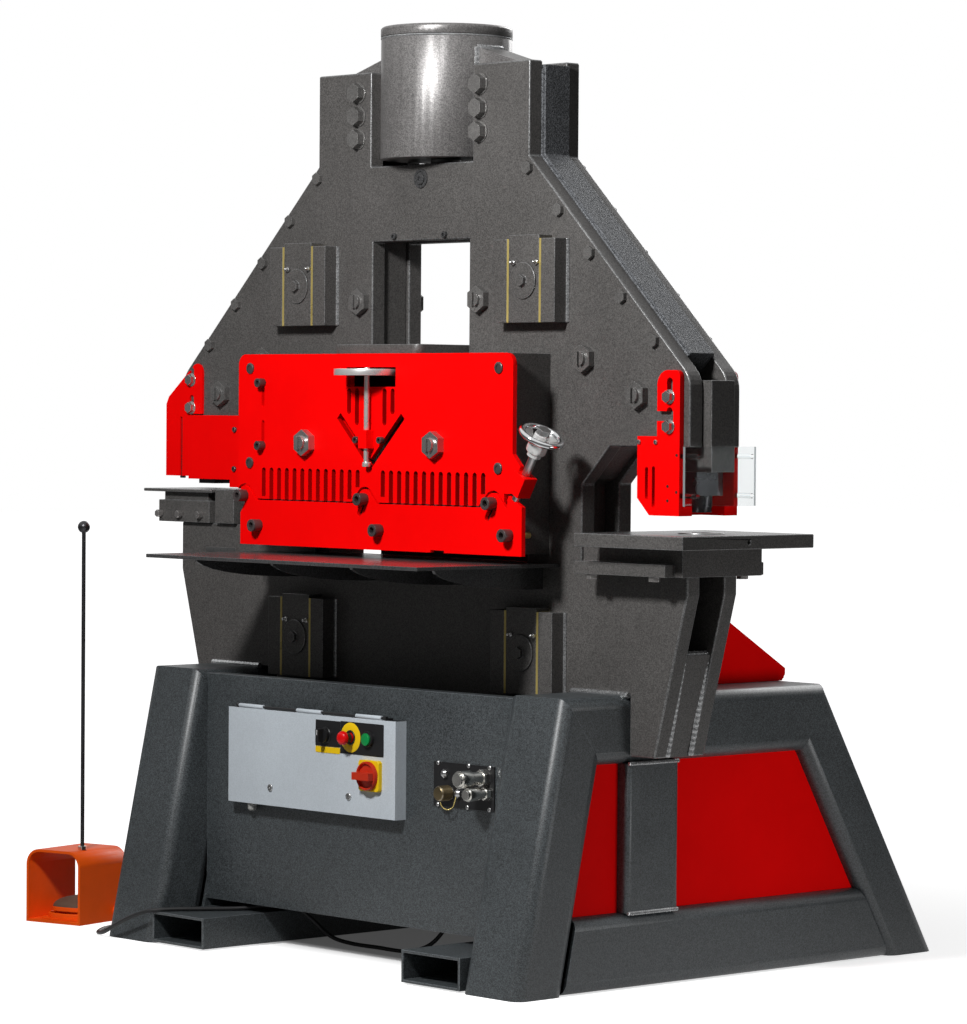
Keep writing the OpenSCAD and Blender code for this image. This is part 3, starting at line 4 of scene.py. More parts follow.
import bpy
import numpy as np
from mathutils import Matrix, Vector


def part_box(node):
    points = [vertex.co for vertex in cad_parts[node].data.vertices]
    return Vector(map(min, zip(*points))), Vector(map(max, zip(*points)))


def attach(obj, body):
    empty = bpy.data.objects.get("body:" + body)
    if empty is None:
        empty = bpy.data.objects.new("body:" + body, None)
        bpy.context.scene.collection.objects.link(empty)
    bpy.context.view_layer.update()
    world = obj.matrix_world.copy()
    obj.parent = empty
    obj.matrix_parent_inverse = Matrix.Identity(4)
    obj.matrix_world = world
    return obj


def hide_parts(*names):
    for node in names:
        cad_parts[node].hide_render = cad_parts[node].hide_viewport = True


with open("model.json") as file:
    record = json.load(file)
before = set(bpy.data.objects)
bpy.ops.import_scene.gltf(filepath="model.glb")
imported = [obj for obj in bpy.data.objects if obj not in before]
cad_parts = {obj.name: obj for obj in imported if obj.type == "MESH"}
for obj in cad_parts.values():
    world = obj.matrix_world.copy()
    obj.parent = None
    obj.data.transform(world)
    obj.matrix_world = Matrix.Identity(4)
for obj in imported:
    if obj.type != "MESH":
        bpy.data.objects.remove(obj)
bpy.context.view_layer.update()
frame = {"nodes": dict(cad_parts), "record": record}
nodes = frame["nodes"]
scene = bpy.context.scene
scene.view_settings.view_transform = "Standard"

MM = 0.001
TURN = 2 * math.pi
SIDES = (-1, 1)
RIGHT, LEFT = (1, 0, 0), (-1, 0, 0)
FRONT, REAR = (0, -1, 0), (0, 1, 0)
UP, DOWN = (0, 0, 1), (0, 0, -1)

# Sizes and places are in millimetres, places from the middle of the footprint on the floor

# Middle of the two frame plates, at the top of the base
FRAME_AT = np.array([24.0, -248.0, 603.0])
# Front faces of the control box lid and of the base's front panel
LID_FACE, PANEL_FACE = -505.0, -475.0
# From the frame's middle: half the gap between the plates, a plate's outer face, and the guard plate's front
HALF_GAP, PLATE_FACE, GUARD_FACE = 35.0, 72.0, -211.0
# Middles of the ram's guides, from the middle of the frame
GUIDE_X, GUIDE_HEIGHTS = 368, (853, 75)


# Camera

def add_camera():
    """Camera found from the photograph's parallel edges, at a place in metres.

    Yaw turns its level axes, downward pitch tips the axis ahead, and roll turns right and up about it.
    """
    yaw, pitch, roll = (math.radians(angle) for angle in (47.542, 1.464, 0.426))
    place = (6.696, -6.2345, 1.1925)
    focal_px, frame_px = 4125.1, 1024.0
    right = np.array([math.cos(yaw), math.sin(yaw), 0.0])
    level = np.array([-math.sin(yaw), math.cos(yaw), 0.0])
    ahead = math.cos(pitch) * level + math.sin(pitch) * np.array(DOWN)
    up = np.cross(right, ahead)
    turned_right = math.cos(roll) * right + math.sin(roll) * up
    turned_up = math.cos(roll) * up - math.sin(roll) * right
    data = bpy.data.cameras.new("camera")
    data.sensor_width = 36.0
    data.lens = focal_px * data.sensor_width / frame_px
    data.clip_end = 60.0
    camera = bpy.data.objects.new("camera", data)
    scene.collection.objects.link(camera)
    axes = np.column_stack([turned_right, turned_up, -ahead, place])
    camera.matrix_world = Matrix(np.vstack([axes, [0, 0, 0, 1]]).tolist())
    scene.camera = camera


add_camera()


# Finishes

def new_group(name, inputs, outputs):
    """Empty shader group with its named sockets, and the nodes at its two ends."""
    group = bpy.data.node_groups.new(name, "ShaderNodeTree")
    for label, value in inputs:
        socket = group.interface.new_socket(label, in_out="INPUT", socket_type="NodeSocketFloat")
        socket.default_value = value
    for label in outputs:
        group.interface.new_socket(label, in_out="OUTPUT", socket_type="NodeSocketFloat")
    return group, group.nodes.new("NodeGroupInput"), group.nodes.new("NodeGroupOutput")


def noise_node(group, vector, scale, detail, rough):
    """Noise texture read at a vector, with its scale taken from a socket."""
    node = group.nodes.new("ShaderNodeTexNoise")
    node.inputs["Detail"].default_value = detail
    node.inputs["Roughness"].default_value = rough
    group.links.new(vector, node.inputs["Vector"])
    group.links.new(scale, node.inputs["Scale"])
    return node.outputs["Fac"]


def paint_skin():
    """Sprayed paint: a lumpy height, one random metal flake to a cell, and slow clouds of dust."""
    scales = [("Lump Scale", 260.0), ("Flake Scale", 700.0), ("Dust Scale", 5.0)]
    group, source, sink = new_group("paint_skin", scales, ["Height", "Flake", "Dust"])
    place = group.nodes.new("ShaderNodeTexCoord").outputs["Object"]
    lumps = noise_node(group, place, source.outputs["Lump Scale"], 2.0, 0.5)
    dust = noise_node(group, place, source.outputs["Dust Scale"], 6.0, 0.62)
    flakes = group.nodes.new("ShaderNodeTexVoronoi")
    split = group.nodes.new("ShaderNodeSeparateColor")
    group.links.new(place, flakes.inputs["Vector"])
    group.links.new(source.outputs["Flake Scale"], flakes.inputs["Scale"])
    group.links.new(flakes.outputs["Color"], split.inputs["Color"])
    group.links.new(lumps, sink.inputs["Height"])
    group.links.new(split.outputs["Red"], sink.inputs["Flake"])
    group.links.new(dust, sink.inputs["Dust"])
    return group


def machined_skin():
    """Machined metal: fine lines drawn out along X, and slow clouds of oil film."""
    scales = [("Line Scale", 420.0), ("Film Scale", 9.0)]
    group, source, sink = new_group("machined_skin", scales, ["Height", "Film"])
    place = group.nodes.new("ShaderNodeTexCoord").outputs["Object"]
    drawn = group.nodes.new("ShaderNodeMapping")
    drawn.inputs["Scale"].default_value = (0.06, 1.0, 1.0)
    group.links.new(place, drawn.inputs["Vector"])
    lines = noise_node(group, drawn.outputs["Vector"], source.outputs["Line Scale"], 3.0, 0.6)
    film = noise_node(group, place, source.outputs["Film Scale"], 5.0, 0.6)
    group.links.new(lines, sink.inputs["Height"])
    group.links.new(film, sink.inputs["Film"])
    return group


PAINT_SKIN = paint_skin()
MACHINED_SKIN = machined_skin()


def spread(tree, value, low, high, bottom, top):
    """Value from low to high mapped onto bottom to top."""
    node = tree.nodes.new("ShaderNodeMapRange")
    for label, number in (("From Min", low), ("From Max", high), ("To Min", bottom), ("To Max", top)):
        node.inputs[label].default_value = number
    tree.links.new(value, node.inputs["Value"])
    return node.outputs["Result"]


def tinted(tree, base, mask, share):
    """A colour or an earlier tint times a mask, its reach spread from 1 - share to 1 + share."""
    socket, reach = mask
    node = tree.nodes.new("ShaderNodeMix")
    node.data_type = "RGBA"
    node.blend_type = "MULTIPLY"
    node.inputs["Factor"].default_value = 1.0
    if isinstance(base, tuple):
        node.inputs["A"].default_value = (*base, 1.0)
    else:
        tree.links.new(base, node.inputs["A"])
    tree.links.new(spread(tree, socket, *reach, 1.0 - share, 1.0 + share), node.inputs["B"])
    return node.outputs["Result"]


# Reach of the values that flakes and clouds take
FLAKE_REACH, CLOUD_REACH = (0.0, 1.0), (0.3, 0.7)
# Refraction of the clear sheet, low so that what lies behind it stays in place
SHEET_IOR = 1.12


def finish(name, colour, rough, skin, metal=0.0, gloss=0.5, bump=0.0, depth=0.0006, fleck=0.0, cloud=0.0,
           sweat=0.06, sizes=(), clear=0.0):
    """Principled finish under a skin.

    Flecks and clouds multiply the colour, clouds move the roughness by the sweat, and the skin's height,
    as deep as given in metres, bumps the normal.
    """
    made = bpy.data.materials.new(name)
    made.use_nodes = True
    made.diffuse_color = (*colour, 1.0)
    tree = made.node_tree
    shader = tree.nodes["Principled BSDF"]
    shader.inputs["Base Color"].default_value = (*colour, 1.0)
    shader.inputs["Roughness"].default_value = rough
    shader.inputs["Metallic"].default_value = metal
    shader.inputs["Specular IOR Level"].default_value = gloss
    shader.inputs["Transmission Weight"].default_value = clear
    if clear:
        shader.inputs["IOR"].default_value = SHEET_IOR
    effect = tree.nodes.new("ShaderNodeGroup")
    effect.node_tree = skin
    for label, number in sizes:
        effect.inputs[label].default_value = number
    slow = effect.outputs["Dust" if skin is PAINT_SKIN else "Film"]
    mixed = colour
    if fleck:
        mixed = tinted(tree, mixed, (effect.outputs["Flake"], FLAKE_REACH), fleck)
    mixed = tinted(tree, mixed, (slow, CLOUD_REACH), cloud)
    patchy = spread(tree, slow, *CLOUD_REACH, rough - sweat, rough + sweat)
    tree.links.new(mixed, shader.inputs["Base Color"])
    tree.links.new(patchy, shader.inputs["Roughness"])
    if bump:
        node = tree.nodes.new("ShaderNodeBump")
        node.inputs["Strength"].default_value = bump
        node.inputs["Distance"].default_value = depth
        tree.links.new(effect.outputs["Height"], node.inputs["Height"])
        tree.links.new(node.outputs["Normal"], shader.inputs["Normal"])
    return made


FINISHES = {}
# Grain of fine and of coarse paint with metal flakes, and of smooth paint, plastic and rubber
FINE = (("Lump Scale", 420.0), ("Flake Scale", 540.0), ("Dust Scale", 4.0))
COARSE = (("Lump Scale", 300.0), ("Flake Scale", 480.0), ("Dust Scale", 6.0))
SMOOTH = (("Lump Scale", 130.0), ("Flake Scale", 500.0), ("Dust Scale", 5.0))
# Depth of machined lines, in metres
LINE_DEPTH = 0.0002


def paint(name, colour, rough, sizes, **traits):
    """Adds a finish on the paint skin with one of the three grains."""
    FINISHES[name] = finish(name, colour, rough, PAINT_SKIN, sizes=sizes, **traits)


def machined(name, colour, rough, metal, **traits):
    """Adds a finish on the machined skin, whose lines are shallow."""
    FINISHES[name] = finish(name, colour, rough, MACHINED_SKIN, metal=metal, depth=LINE_DEPTH, **traits)


# Paint of the frame, its cylinder and bolts
paint("frame_paint", (0.085, 0.081, 0.078), 0.42, FINE, gloss=0.4, bump=0.35, fleck=0.42, cloud=0.12)
# Lighter paint on the frame's rounded edges: partly worn paint, partly a painted highlight
paint("frame_edge", (0.16, 0.16, 0.16), 0.30, FINE, metal=0.4, gloss=0.6, bump=0.3, fleck=0.5, cloud=0.25)
paint("bolt_paint", (0.128, 0.124, 0.12), 0.28, FINE, metal=0.2, gloss=0.7, bump=0.3, fleck=0.3, cloud=0.25)
# Lighter paint on the bolts' rounded edges: partly worn paint, partly a painted highlight
paint("bolt_edge", (0.50, 0.49, 0.48), 0.24, FINE, metal=0.6, gloss=0.6, bump=0.3, fleck=0.3, cloud=0.25)
# Lighter than the frame paint: partly the cylinder's own glossier paint, partly a painted highlight
paint("cylinder_paint_lit", (0.175, 0.168, 0.165), 0.35, FINE, metal=0.35, gloss=0.8, bump=0.35, fleck=0.45,
      cloud=0.10)
paint("spacer_paint", (0.105, 0.109, 0.116), 0.48, COARSE, metal=0.2, gloss=0.2, bump=0.8, depth=0.0014,
      fleck=0.65, cloud=0.25)
# Light tone of the weld beads: partly their own shine, partly painted glints
paint("weld_glint_paint", (0.42, 0.425, 0.43), 0.22, COARSE, metal=0.7, gloss=0.5, bump=0.5, fleck=0.4, cloud=0.3)
paint("table_paint", (0.052, 0.052, 0.053), 0.24, FINE, gloss=0.4, bump=0.12, fleck=0.4, cloud=0.12)

# Paint of the base, the guards, the control box and the foot switch
paint("base_paint", (0.046, 0.053, 0.057), 0.44, FINE, gloss=0.65, bump=0.3, fleck=0.75, cloud=0.12)
# Lighter paint on the base's rounded edges: partly worn paint, partly a painted highlight
paint("base_edge", (0.14, 0.155, 0.165), 0.34, FINE, metal=0.3, gloss=0.4, bump=0.3, fleck=0.5, cloud=0.15)
paint("guard_paint", (0.96, 0.0010, 0.0012), 0.44, SMOOTH, gloss=0.05, bump=0.10, cloud=0.05)
# Darker red for the walls of the guard's slots: painted shade of their shaded insides
paint("shaded_slot_red", (0.50, 0.0006, 0.0007), 0.5, SMOOTH, gloss=0.05, bump=0.10, cloud=0.05)
paint("box_paint", (0.55, 0.60, 0.645), 0.42, SMOOTH, gloss=0.2, bump=0.12, fleck=0.06, cloud=0.05)
paint("orange_paint", (0.95, 0.115, 0.008), 0.42, SMOOTH, gloss=0.10, bump=0.22, cloud=0.10)
paint("white_mark", (0.72, 0.72, 0.71), 0.5, SMOOTH, gloss=0.2, cloud=0.06)

# Plastic, rubber and the clear sheet
paint("switch_gear", (0.42, 0.42, 0.40), 0.5, SMOOTH, gloss=0.3, bump=0.1, cloud=0.06)
paint("red_plastic", (0.70, 0.004, 0.005), 0.28, SMOOTH, gloss=0.25, bump=0.04, cloud=0.05)
paint("green_plastic", (0.005, 0.26, 0.06), 0.3, SMOOTH, gloss=0.25, bump=0.04, cloud=0.05)
paint("rotary_red", (0.52, 0.030, 0.010), 0.34, SMOOTH, gloss=0.25, bump=0.04, cloud=0.05)
paint("yellow_plastic", (0.86, 0.56, 0.008), 0.42, SMOOTH, gloss=0.2, bump=0.04, cloud=0.05)
paint("black_plastic", (0.014, 0.014, 0.015), 0.36, SMOOTH, gloss=0.3, bump=0.10, cloud=0.1)
paint("tread_rubber", (0.13, 0.085, 0.060), 0.62, COARSE, gloss=0.1, bump=0.3, cloud=0.3)
paint("cord_rubber", (0.016, 0.016, 0.017), 0.5, SMOOTH, gloss=0.3, bump=0.15, cloud=0.1)
paint("clear_sheet", (0.86, 0.885, 0.89), 0.035, SMOOTH, cloud=0.04, sweat=0.02, clear=1.0)
paint("sheet_edge", (0.42, 0.47, 0.49), 0.2, SMOOTH, cloud=0.06, clear=0.5)

# Bare and plated metal
machined("bare_steel", (0.44, 0.44, 0.44), 0.34, 1.0, bump=0.10, cloud=0.14)
machined("nut_steel", (0.46, 0.44, 0.43), 0.27, 0.85, bump=0.12, cloud=0.25)
machined("tool_steel", (0.060, 0.060, 0.064), 0.28, 0.8, gloss=0.4, bump=0.08, cloud=0.2)
machined("screw_steel", (0.085, 0.069, 0.069), 0.32, 0.4, gloss=0.5, bump=0.08, cloud=0.25)
machined("pale_steel", (0.66, 0.65, 0.64), 0.28, 0.6, bump=0.08, cloud=0.14)
machined("black_steel", (0.036, 0.033, 0.033), 0.34, 0.5, gloss=0.4, bump=0.08, cloud=0.2)
machined("brass", (0.62, 0.49, 0.16), 0.32, 0.5, bump=0.10, cloud=0.18)
machined("dull_brass", (0.20, 0.155, 0.085), 0.36, 0.85, bump=0.10, cloud=0.25)
machined("zinc", (0.78, 0.77, 0.73), 0.20, 1.0, bump=0.08, cloud=0.15)
machined("bright_alloy", (0.80, 0.80, 0.79), 0.24, 0.45, cloud=0.08, sweat=0.05)
machined("chrome", (0.72, 0.73, 0.74), 0.10, 1.0, cloud=0.05, sweat=0.03)

# Finish of a CAD node where it isn't the plain one of its slot
NODE_FINISH = {
    "spacer_bars": "spacer_paint", "cylinder_barrel": "cylinder_paint_lit", "cylinder_cap": "cylinder_paint_lit",
    "frame_bolts": "bolt_paint", "feed_table": "table_paint", "punch_set": "tool_steel",
    "notch_punch": "tool_steel", "tool_bolts": "nut_steel", "carry_rod": "tool_steel", "couplers": "zinc",
    "disconnect_handle": "rotary_red", "guard_screws": "screw_steel", "holddown_bolts": "screw_steel",
    "angle_screw": "pale_steel", "angle_pad": "pale_steel",
}
# Finish of the rounding along the edges, lighter than the plain one: partly worn paint and partly a painted
# highlight, for each finish that has one
EDGE_FINISH = {"frame_paint": "frame_edge", "base_paint": "base_edge", "bolt_paint": "bolt_edge"}
# Edge rounding of each slot's nodes
EDGE_ROUND = {
    "frame_paint": 1.3, "base_paint": 1.0, "guard_paint": 0.9, "bare_steel": 0.6, "black_steel": 0.8,
    "brass": 0.4, "box_paint": 0.9, "orange_paint": 1.2, "red_plastic": 1.0, "green_plastic": 0.8,
    "black_plastic": 1.0, "chrome": 0.6, "switch_gear": 0.6,
}
# Wider rounding of the flame-cut plates and of the tables
NODE_ROUND = {"front_plate": 3.5, "rear_plate": 3.5, "punch_table": 2.0, "notch_table": 2.0}


def round_edges(obj, width, edge_slot=-1, clamp=True):
    """Merges a shape's doubles and flat triangles, then rounds its sharp edges, in a slot of their own."""
    weld = obj.modifiers.new("weld", "WELD")
    weld.merge_threshold = 0.02 * MM
    flat = obj.modifiers.new("flat", "DECIMATE")
    flat.decimate_type = "DISSOLVE"
    flat.angle_limit = math.radians(0.4)
    flat.delimit = {"MATERIAL"}
    bevel = obj.modifiers.new("edges", "BEVEL")
    bevel.width = width * MM
    bevel.segments = 2
    bevel.limit_method = "ANGLE"
    bevel.angle_limit = math.radians(32)
    bevel.use_clamp_overlap = clamp
    bevel.harden_normals = True
    bevel.material = edge_slot


def dress_cad_nodes():
    """Gives every CAD node its finish, and its edges their rounding and a lighter paint, partly worn paint
    and partly a painted highlight.
    """
    for part in frame["record"]["subparts"]:
        name, slot = part["node"], part["material_slot"]
        obj = nodes[name]
        plain = NODE_FINISH.get(name, slot)
        wear_and_highlight = EDGE_FINISH.get(plain)
        obj.data.materials.clear()
        obj.data.materials.append(FINISHES[plain])
        if wear_and_highlight:
            obj.data.materials.append(FINISHES[wear_and_highlight])
        if slot in EDGE_ROUND:
            width = NODE_ROUND.get(name, EDGE_ROUND[slot])
            round_edges(obj, width, 1 if wear_and_highlight else -1, name not in NODE_ROUND)


def repaint(node, look, chosen):
    """Another finish on those faces of a CAD node whose middles and normals pass a test."""
    mesh = nodes[node].data
    count = len(mesh.polygons)
    middles, normals = np.empty(3 * count), np.empty(3 * count)
    mesh.polygons.foreach_get("center", middles)
    mesh.polygons.foreach_get("normal", normals)
    marks = np.zeros(count, np.int32)
    mesh.polygons.foreach_get("material_index", marks)
    marks[chosen(middles.reshape(-1, 3) / MM, normals.reshape(-1, 3))] = len(mesh.materials)
    mesh.materials.append(FINISHES[look])
    mesh.polygons.foreach_set("material_index", marks)


def slot_walls(p, n):
    """Walls of the comb slots, the vee and its side slots, inside the outline of the guard plate, which take
    a painted shade of darker red.
    """
    across, height = np.abs(p[:, 0] - FRAME_AT[0]), p[:, 2]
    comb_half, comb_low, comb_high = 385, 990, 1085
    vee_half, vee_high = 250, 1290
    comb = (across < comb_half) & (height < comb_high)
    vee = (across < vee_half) & (height < vee_high)
    return (np.abs(n[:, 1]) < 0.5) & (height > comb_low) & (comb | vee)


def sheet_rim(p, n):
    """Rim of the clear guard sheet, which is the outermost part of its node."""
    sheet_reach = 6.5
    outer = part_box("punch_guard")[1][0] / MM
    return (np.abs(n[:, 0]) < 0.5) & (p[:, 0] > outer - sheet_reach)


def repaint_details():
    """Second finishes within a node, from the foot fillers to the hinges of the control box, with painted
    shade on the walls of the guard's slots and on the wall behind them.
    """
    filler_top, hinge_bottom, rod_foot_top = 720, 523, 192
    coupler_plate = 3.1
    nut_x, nut_reach = 210, 40
    repaint("spacer_bars", "frame_paint", lambda p, n: p[:, 2] < filler_top)
    repaint("couplers", "black_plastic", lambda p, n: p[:, 1] > PANEL_FACE - coupler_plate)
    repaint("guard_screws", "nut_steel",
            lambda p, n: np.abs(np.abs(p[:, 0] - FRAME_AT[0]) - nut_x) < nut_reach)
    # Painted shade: the walls of the guard's slots take a darker red
    repaint("guard_plate", "shaded_slot_red", slot_walls)
    repaint("punch_guard", "sheet_edge", sheet_rim)
    for table in ("punch_table", "notch_table"):
        repaint(table, "table_paint", lambda p, n: n[:, 2] > 0.9)
    # Painted shade: the front faces of the shear's front wall in black, for the dark inside seen through the
    # guard's openings
    repaint("shear_front", "black_steel", lambda p, n: n[:, 1] < -0.5)
    repaint("carry_rod", "zinc", lambda p, n: p[:, 2] < rod_foot_top)
    repaint("control_box", "black_plastic", lambda p, n: p[:, 2] > hinge_bottom)


dress_cad_nodes()
repaint_details()


# Shapes: each is its points and blocks of faces

def cells(rows, cols):
    """Quads (r, c), (r, c + 1), (r + 1, c + 1), (r + 1, c) of a grid that closes across its columns."""
    r = np.arange(rows - 1)[:, None] * cols
    c = np.arange(cols)[None, :]
    d = (c + 1) % cols
    return np.stack([r + c, r + d, r + cols + d, r + cols + c], -1).reshape(-1, 4)


def capped(points):
    """Closed shape from rings of points: quads between them, and a flat face on the first and the last."""
    rows, cols = points.shape[:2]
    ring = np.arange(cols)[None]
    return points.reshape(-1, 3), [cells(rows, cols), ring[:, ::-1], ring + (rows - 1) * cols]


def looped(points):
    """Closed ring of rings: quads between neighbours, with the last ring joined to the first."""
    rows, cols = points.shape[:2]
    return points.reshape(-1, 3), [cells(rows + 1, cols) % (rows * cols)]


def basis(axis):
    """Unit vectors u, w and a, with u x w = a along the axis."""
    a = np.asarray(axis, float)
    a = a / np.linalg.norm(a)
    u = np.cross(np.eye(3)[np.argmin(np.abs(a))], a)
    u /= np.linalg.norm(u)
    return u, np.cross(a, u), a


def around(steps):
    """Angles of an even turn, without the last one, which is the first again."""
    return np.arange(steps) * TURN / steps


def turned(profile, at, axis=FRONT, steps=36):
    """Rows of (radius, height, hex share) turned about an axis: at + height a + r (cos t u + sin t w).

    The hex share draws r in from the circle to the hexagon r cos 30 / cos(t mod 60 - 30).
    """
    rows = np.array([tuple(row) + (0.0,) * (3 - len(row)) for row in profile])
    t = around(steps)
    flats = math.cos(math.pi / 6) / np.cos(np.mod(t, math.pi / 3) - math.pi / 6)
    r = rows[:, :1] * (1 - rows[:, 2:] * (1 - flats))
    u, w, a = basis(axis)
    outward = np.cos(t)[:, None] * u + np.sin(t)[:, None] * w
    return capped(np.asarray(at, float) + rows[:, 1, None, None] * a + r[..., None] * outward)


def swept(line, radius, sides):
    """Circle carried along a line: p + r (cos t u + sin t w), with u square to the line and a fixed lean."""
    lean = np.array([0.3, 0.2, 0.9])
    line = np.asarray(line, float)
    ahead = np.gradient(line, axis=0)
    ahead /= np.linalg.norm(ahead, axis=1)[:, None]
    u = np.cross(lean, ahead)
    u /= np.linalg.norm(u, axis=1)[:, None]
    w = np.cross(ahead, u)
    t = around(sides)
    outward = np.cos(t)[:, None] * u[:, None] + np.sin(t)[:, None] * w[:, None]
    return capped(line[:, None] + np.broadcast_to(radius, len(line))[:, None, None] * outward)


def carried(outline, at, right, up, depth):
    """Flat outline, anticlockwise from the front, carried back by a depth.

    The front is at + x right + y up, and the back lies at the depth along -(right x up).
    """
    flat = np.asarray(outline, float)
    right, up = np.asarray(right, float), np.asarray(up, float)
    front = np.asarray(at, float) + flat[:, :1] * right + flat[:, 1:] * up
    return capped(np.stack([front - depth * np.cross(right, up), front]))


def soft_rect(w, h, r, cuts=5):
    """Rectangle with round corners: each corner's centre plus r (cos t, sin t) over its own quarter turn."""
    t = np.arange(4)[:, None] * math.pi / 2 + np.linspace(0, math.pi / 2, cuts)
    centre = np.array([[1, 1], [-1, 1], [-1, -1], [1, -1]]) * [w / 2 - r, h / 2 - r]
    return (centre[:, None] + r * np.stack([np.cos(t), np.sin(t)], -1)).reshape(-1, 2)


def soft_oval(a, b, t):
    """Oval with full shoulders: a cos t and b sin t, with cos and sin to the power 0.7, signs kept."""
    x, y = (np.sign(v) * np.abs(v) ** 0.7 for v in (np.cos(t), np.sin(t)))
    return a * x, b * y


def sheet_on_front(x, z, w, h, face, thick, r=2.0):
    """Thin plate with round corners on a face that looks forward, its middle at x and z."""
    return carried(soft_rect(w, h, r), (x, face - thick, z), RIGHT, UP, thick)


def copies(shape, places):
    """One shape at several places: each of its points plus each offset."""
    points, blocks = shape
    places = np.atleast_2d(np.asarray(places, float))
    step = np.arange(len(places))[:, None, None] * len(points)
    moved = (points[None] + places[:, None]).reshape(-1, 3)
    return moved, [(block[None] + step).reshape(-1, block.shape[1]) for block in blocks]


def joined(shapes):
    """Several shapes as one: points end to end, and face numbers moved on by the points before them."""
    starts = np.cumsum([0] + [len(points) for points, _ in shapes])
    return np.concatenate([points for points, _ in shapes]), [
        block + start for (_, blocks), start in zip(shapes, starts) for block in blocks
    ]


def evenly(points, step):
    """Places at an even step along a polyline, and each one's distance along it."""
    p = np.asarray(points, float)
    s = np.concatenate([[0.0], np.cumsum(np.linalg.norm(np.diff(p, axis=0), axis=1))])
    t = np.linspace(0.0, s[-1], max(2, int(math.ceil(s[-1] / step)) + 1))
    return np.stack([np.interp(t, s, p[:, k]) for k in range(3)], 1), t


def bead(points, r):
    """Weld bead along a polyline: a round whose radius r (0.9 + 0.16 |sin|) swells with the ripples."""
    line, t = evenly(points, 0.45 * r)
    return swept(line, r * (0.9 + 0.16 * np.abs(np.sin(t * math.pi / (1.5 * r)))), 8)


def smooth_line(points, cuts):
    """Catmull-Rom curve: 0.5 (2b + (c-a)t + (2a-5b+4c-d)t^2 + (3b-a-3c+d)t^3) on each span b to c."""
    p = np.asarray(points, float)
    padded = np.concatenate([p[:1], p, p[-1:]])
    a, b, c, d = (padded[i:len(p) - 1 + i, None] for i in range(4))
    t = (np.arange(cuts) / cuts)[None, :, None]
    square, cube = (2 * a - 5 * b + 4 * c - d) * t ** 2, (3 * b - a - 3 * c + d) * t ** 3
    spans = 0.5 * (2 * b + (c - a) * t + square + cube)
    return np.concatenate([spans.reshape(-1, 3), p[-1:]])


# Angle past which an edge stays sharp
CREASE = math.radians(38)


def piece(name, shapes, slot, body="frame", look=None, edge=0.0):
    """Mesh object from shapes, riding a body, smooth up to the crease angle, with any edge rounding."""
    points, blocks = joined(shapes)
    mesh = bpy.data.meshes.new(name)
    mesh.from_pydata((points * MM).tolist(), [], [face for block in blocks for face in block.tolist()])
    mesh.polygons.foreach_set("use_smooth", np.ones(len(mesh.polygons), bool))
    mesh.set_sharp_from_angle(angle=CREASE)
    mesh.materials.append(FINISHES[look or slot])
    obj = bpy.data.objects.new(name, mesh)
    scene.collection.objects.link(obj)
    if edge:
        round_edges(obj, edge)
    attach(obj, body)
    return obj


def on_frame(points):
    """Places given from the middle of the frame plates, moved to the middle of the footprint."""
    return np.asarray(points, float) + FRAME_AT


# Cord of the foot switch

SWITCH_AT = np.array([-947.0, -507.0, 0.0])
SWITCH_TURN = math.radians(14)
SWITCH_RIGHT = np.array([math.cos(SWITCH_TURN), math.sin(SWITCH_TURN), 0.0])
SWITCH_BACK = np.array([-math.sin(SWITCH_TURN), math.cos(SWITCH_TURN), 0.0])


def on_switch(x, y, z):
    """Places given from the middle of the foot switch: its middle + x right + y back + z up."""
    x, y, z = (np.asarray(v, float)[..., None] for v in (x, y, z))
    return SWITCH_AT + x * SWITCH_RIGHT + y * SWITCH_BACK + z * np.array(UP)


def add_cord():
    """Foot switch cord along the solid's route, from the equipment tray to the gland on the hood."""
    thick = 9.0
    hood_half, gland_long, gland_in = 79, 22, 8
    gland = on_switch(hood_half + gland_long - gland_in, 45, 24)
    route = [
        (60, -250, 149.7), (60, -250, 120), (56, -256, 70), (30, -280, 24), (-20, -304, 5),
        (-110, -312, 5), (-200, -312, 5), (-258, -322, 16), (-296, -345, 52), (-318, -378, 80),
        (-350, -424, 82), (-392, -484, 77.5), (-432, -545, 77.5), (-468, -600, 77.5), (-500, -640, 74),
        (-555, -650, 56), (-610, -650, 33), (-660, -645, 12), (-708, -625, 5), (-748, -580, 5),
        (-770, -530, 5), (-782, -480, 6), (-802, -448, 13),
        gland + 30 * SWITCH_RIGHT, gland + 16 * SWITCH_RIGHT, gland,
    ]
    line = smooth_line(route, 6)
    cord = piece("foot_cord", [swept(line, thick / 2, 16)], "cord_rubber")
    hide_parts("cord")


add_cord()


# Welds, in places from the middle of the frame plates

def add_lug_welds():
    """Beads where the lugs meet the barrel and under the cap.

    They run up both sides of each lug, over its top on x = sqrt(R^2 - y^2), and in a circle below the cap.
    """
    barrel_r, lug_low, lug_high = 142.0, 1140, 1358
    cap_r, cap_low = 140.5, 1384.0
    seam_x = math.sqrt(barrel_r ** 2 - HALF_GAP ** 2)
    beads = [bead(on_frame([(sx * seam_x, sy * HALF_GAP, z) for z in (lug_low, lug_high)]), 7)
             for sx in SIDES for sy in SIDES]
    y = np.linspace(-HALF_GAP, HALF_GAP, 9)
    over = np.stack([np.sqrt(barrel_r ** 2 - y ** 2), y, 0 * y + lug_high - 1], 1)
    beads += [bead(on_frame(over * (sx, 1, 1)), 7) for sx in SIDES]
    t = np.linspace(0, TURN, 97)
    ring = np.stack([cap_r * np.cos(t), cap_r * np.sin(t), 0 * t + cap_low], 1)
    piece("lug_welds", [*beads, bead(on_frame(ring), 2.6)], "frame_paint", look="weld_glint_paint")


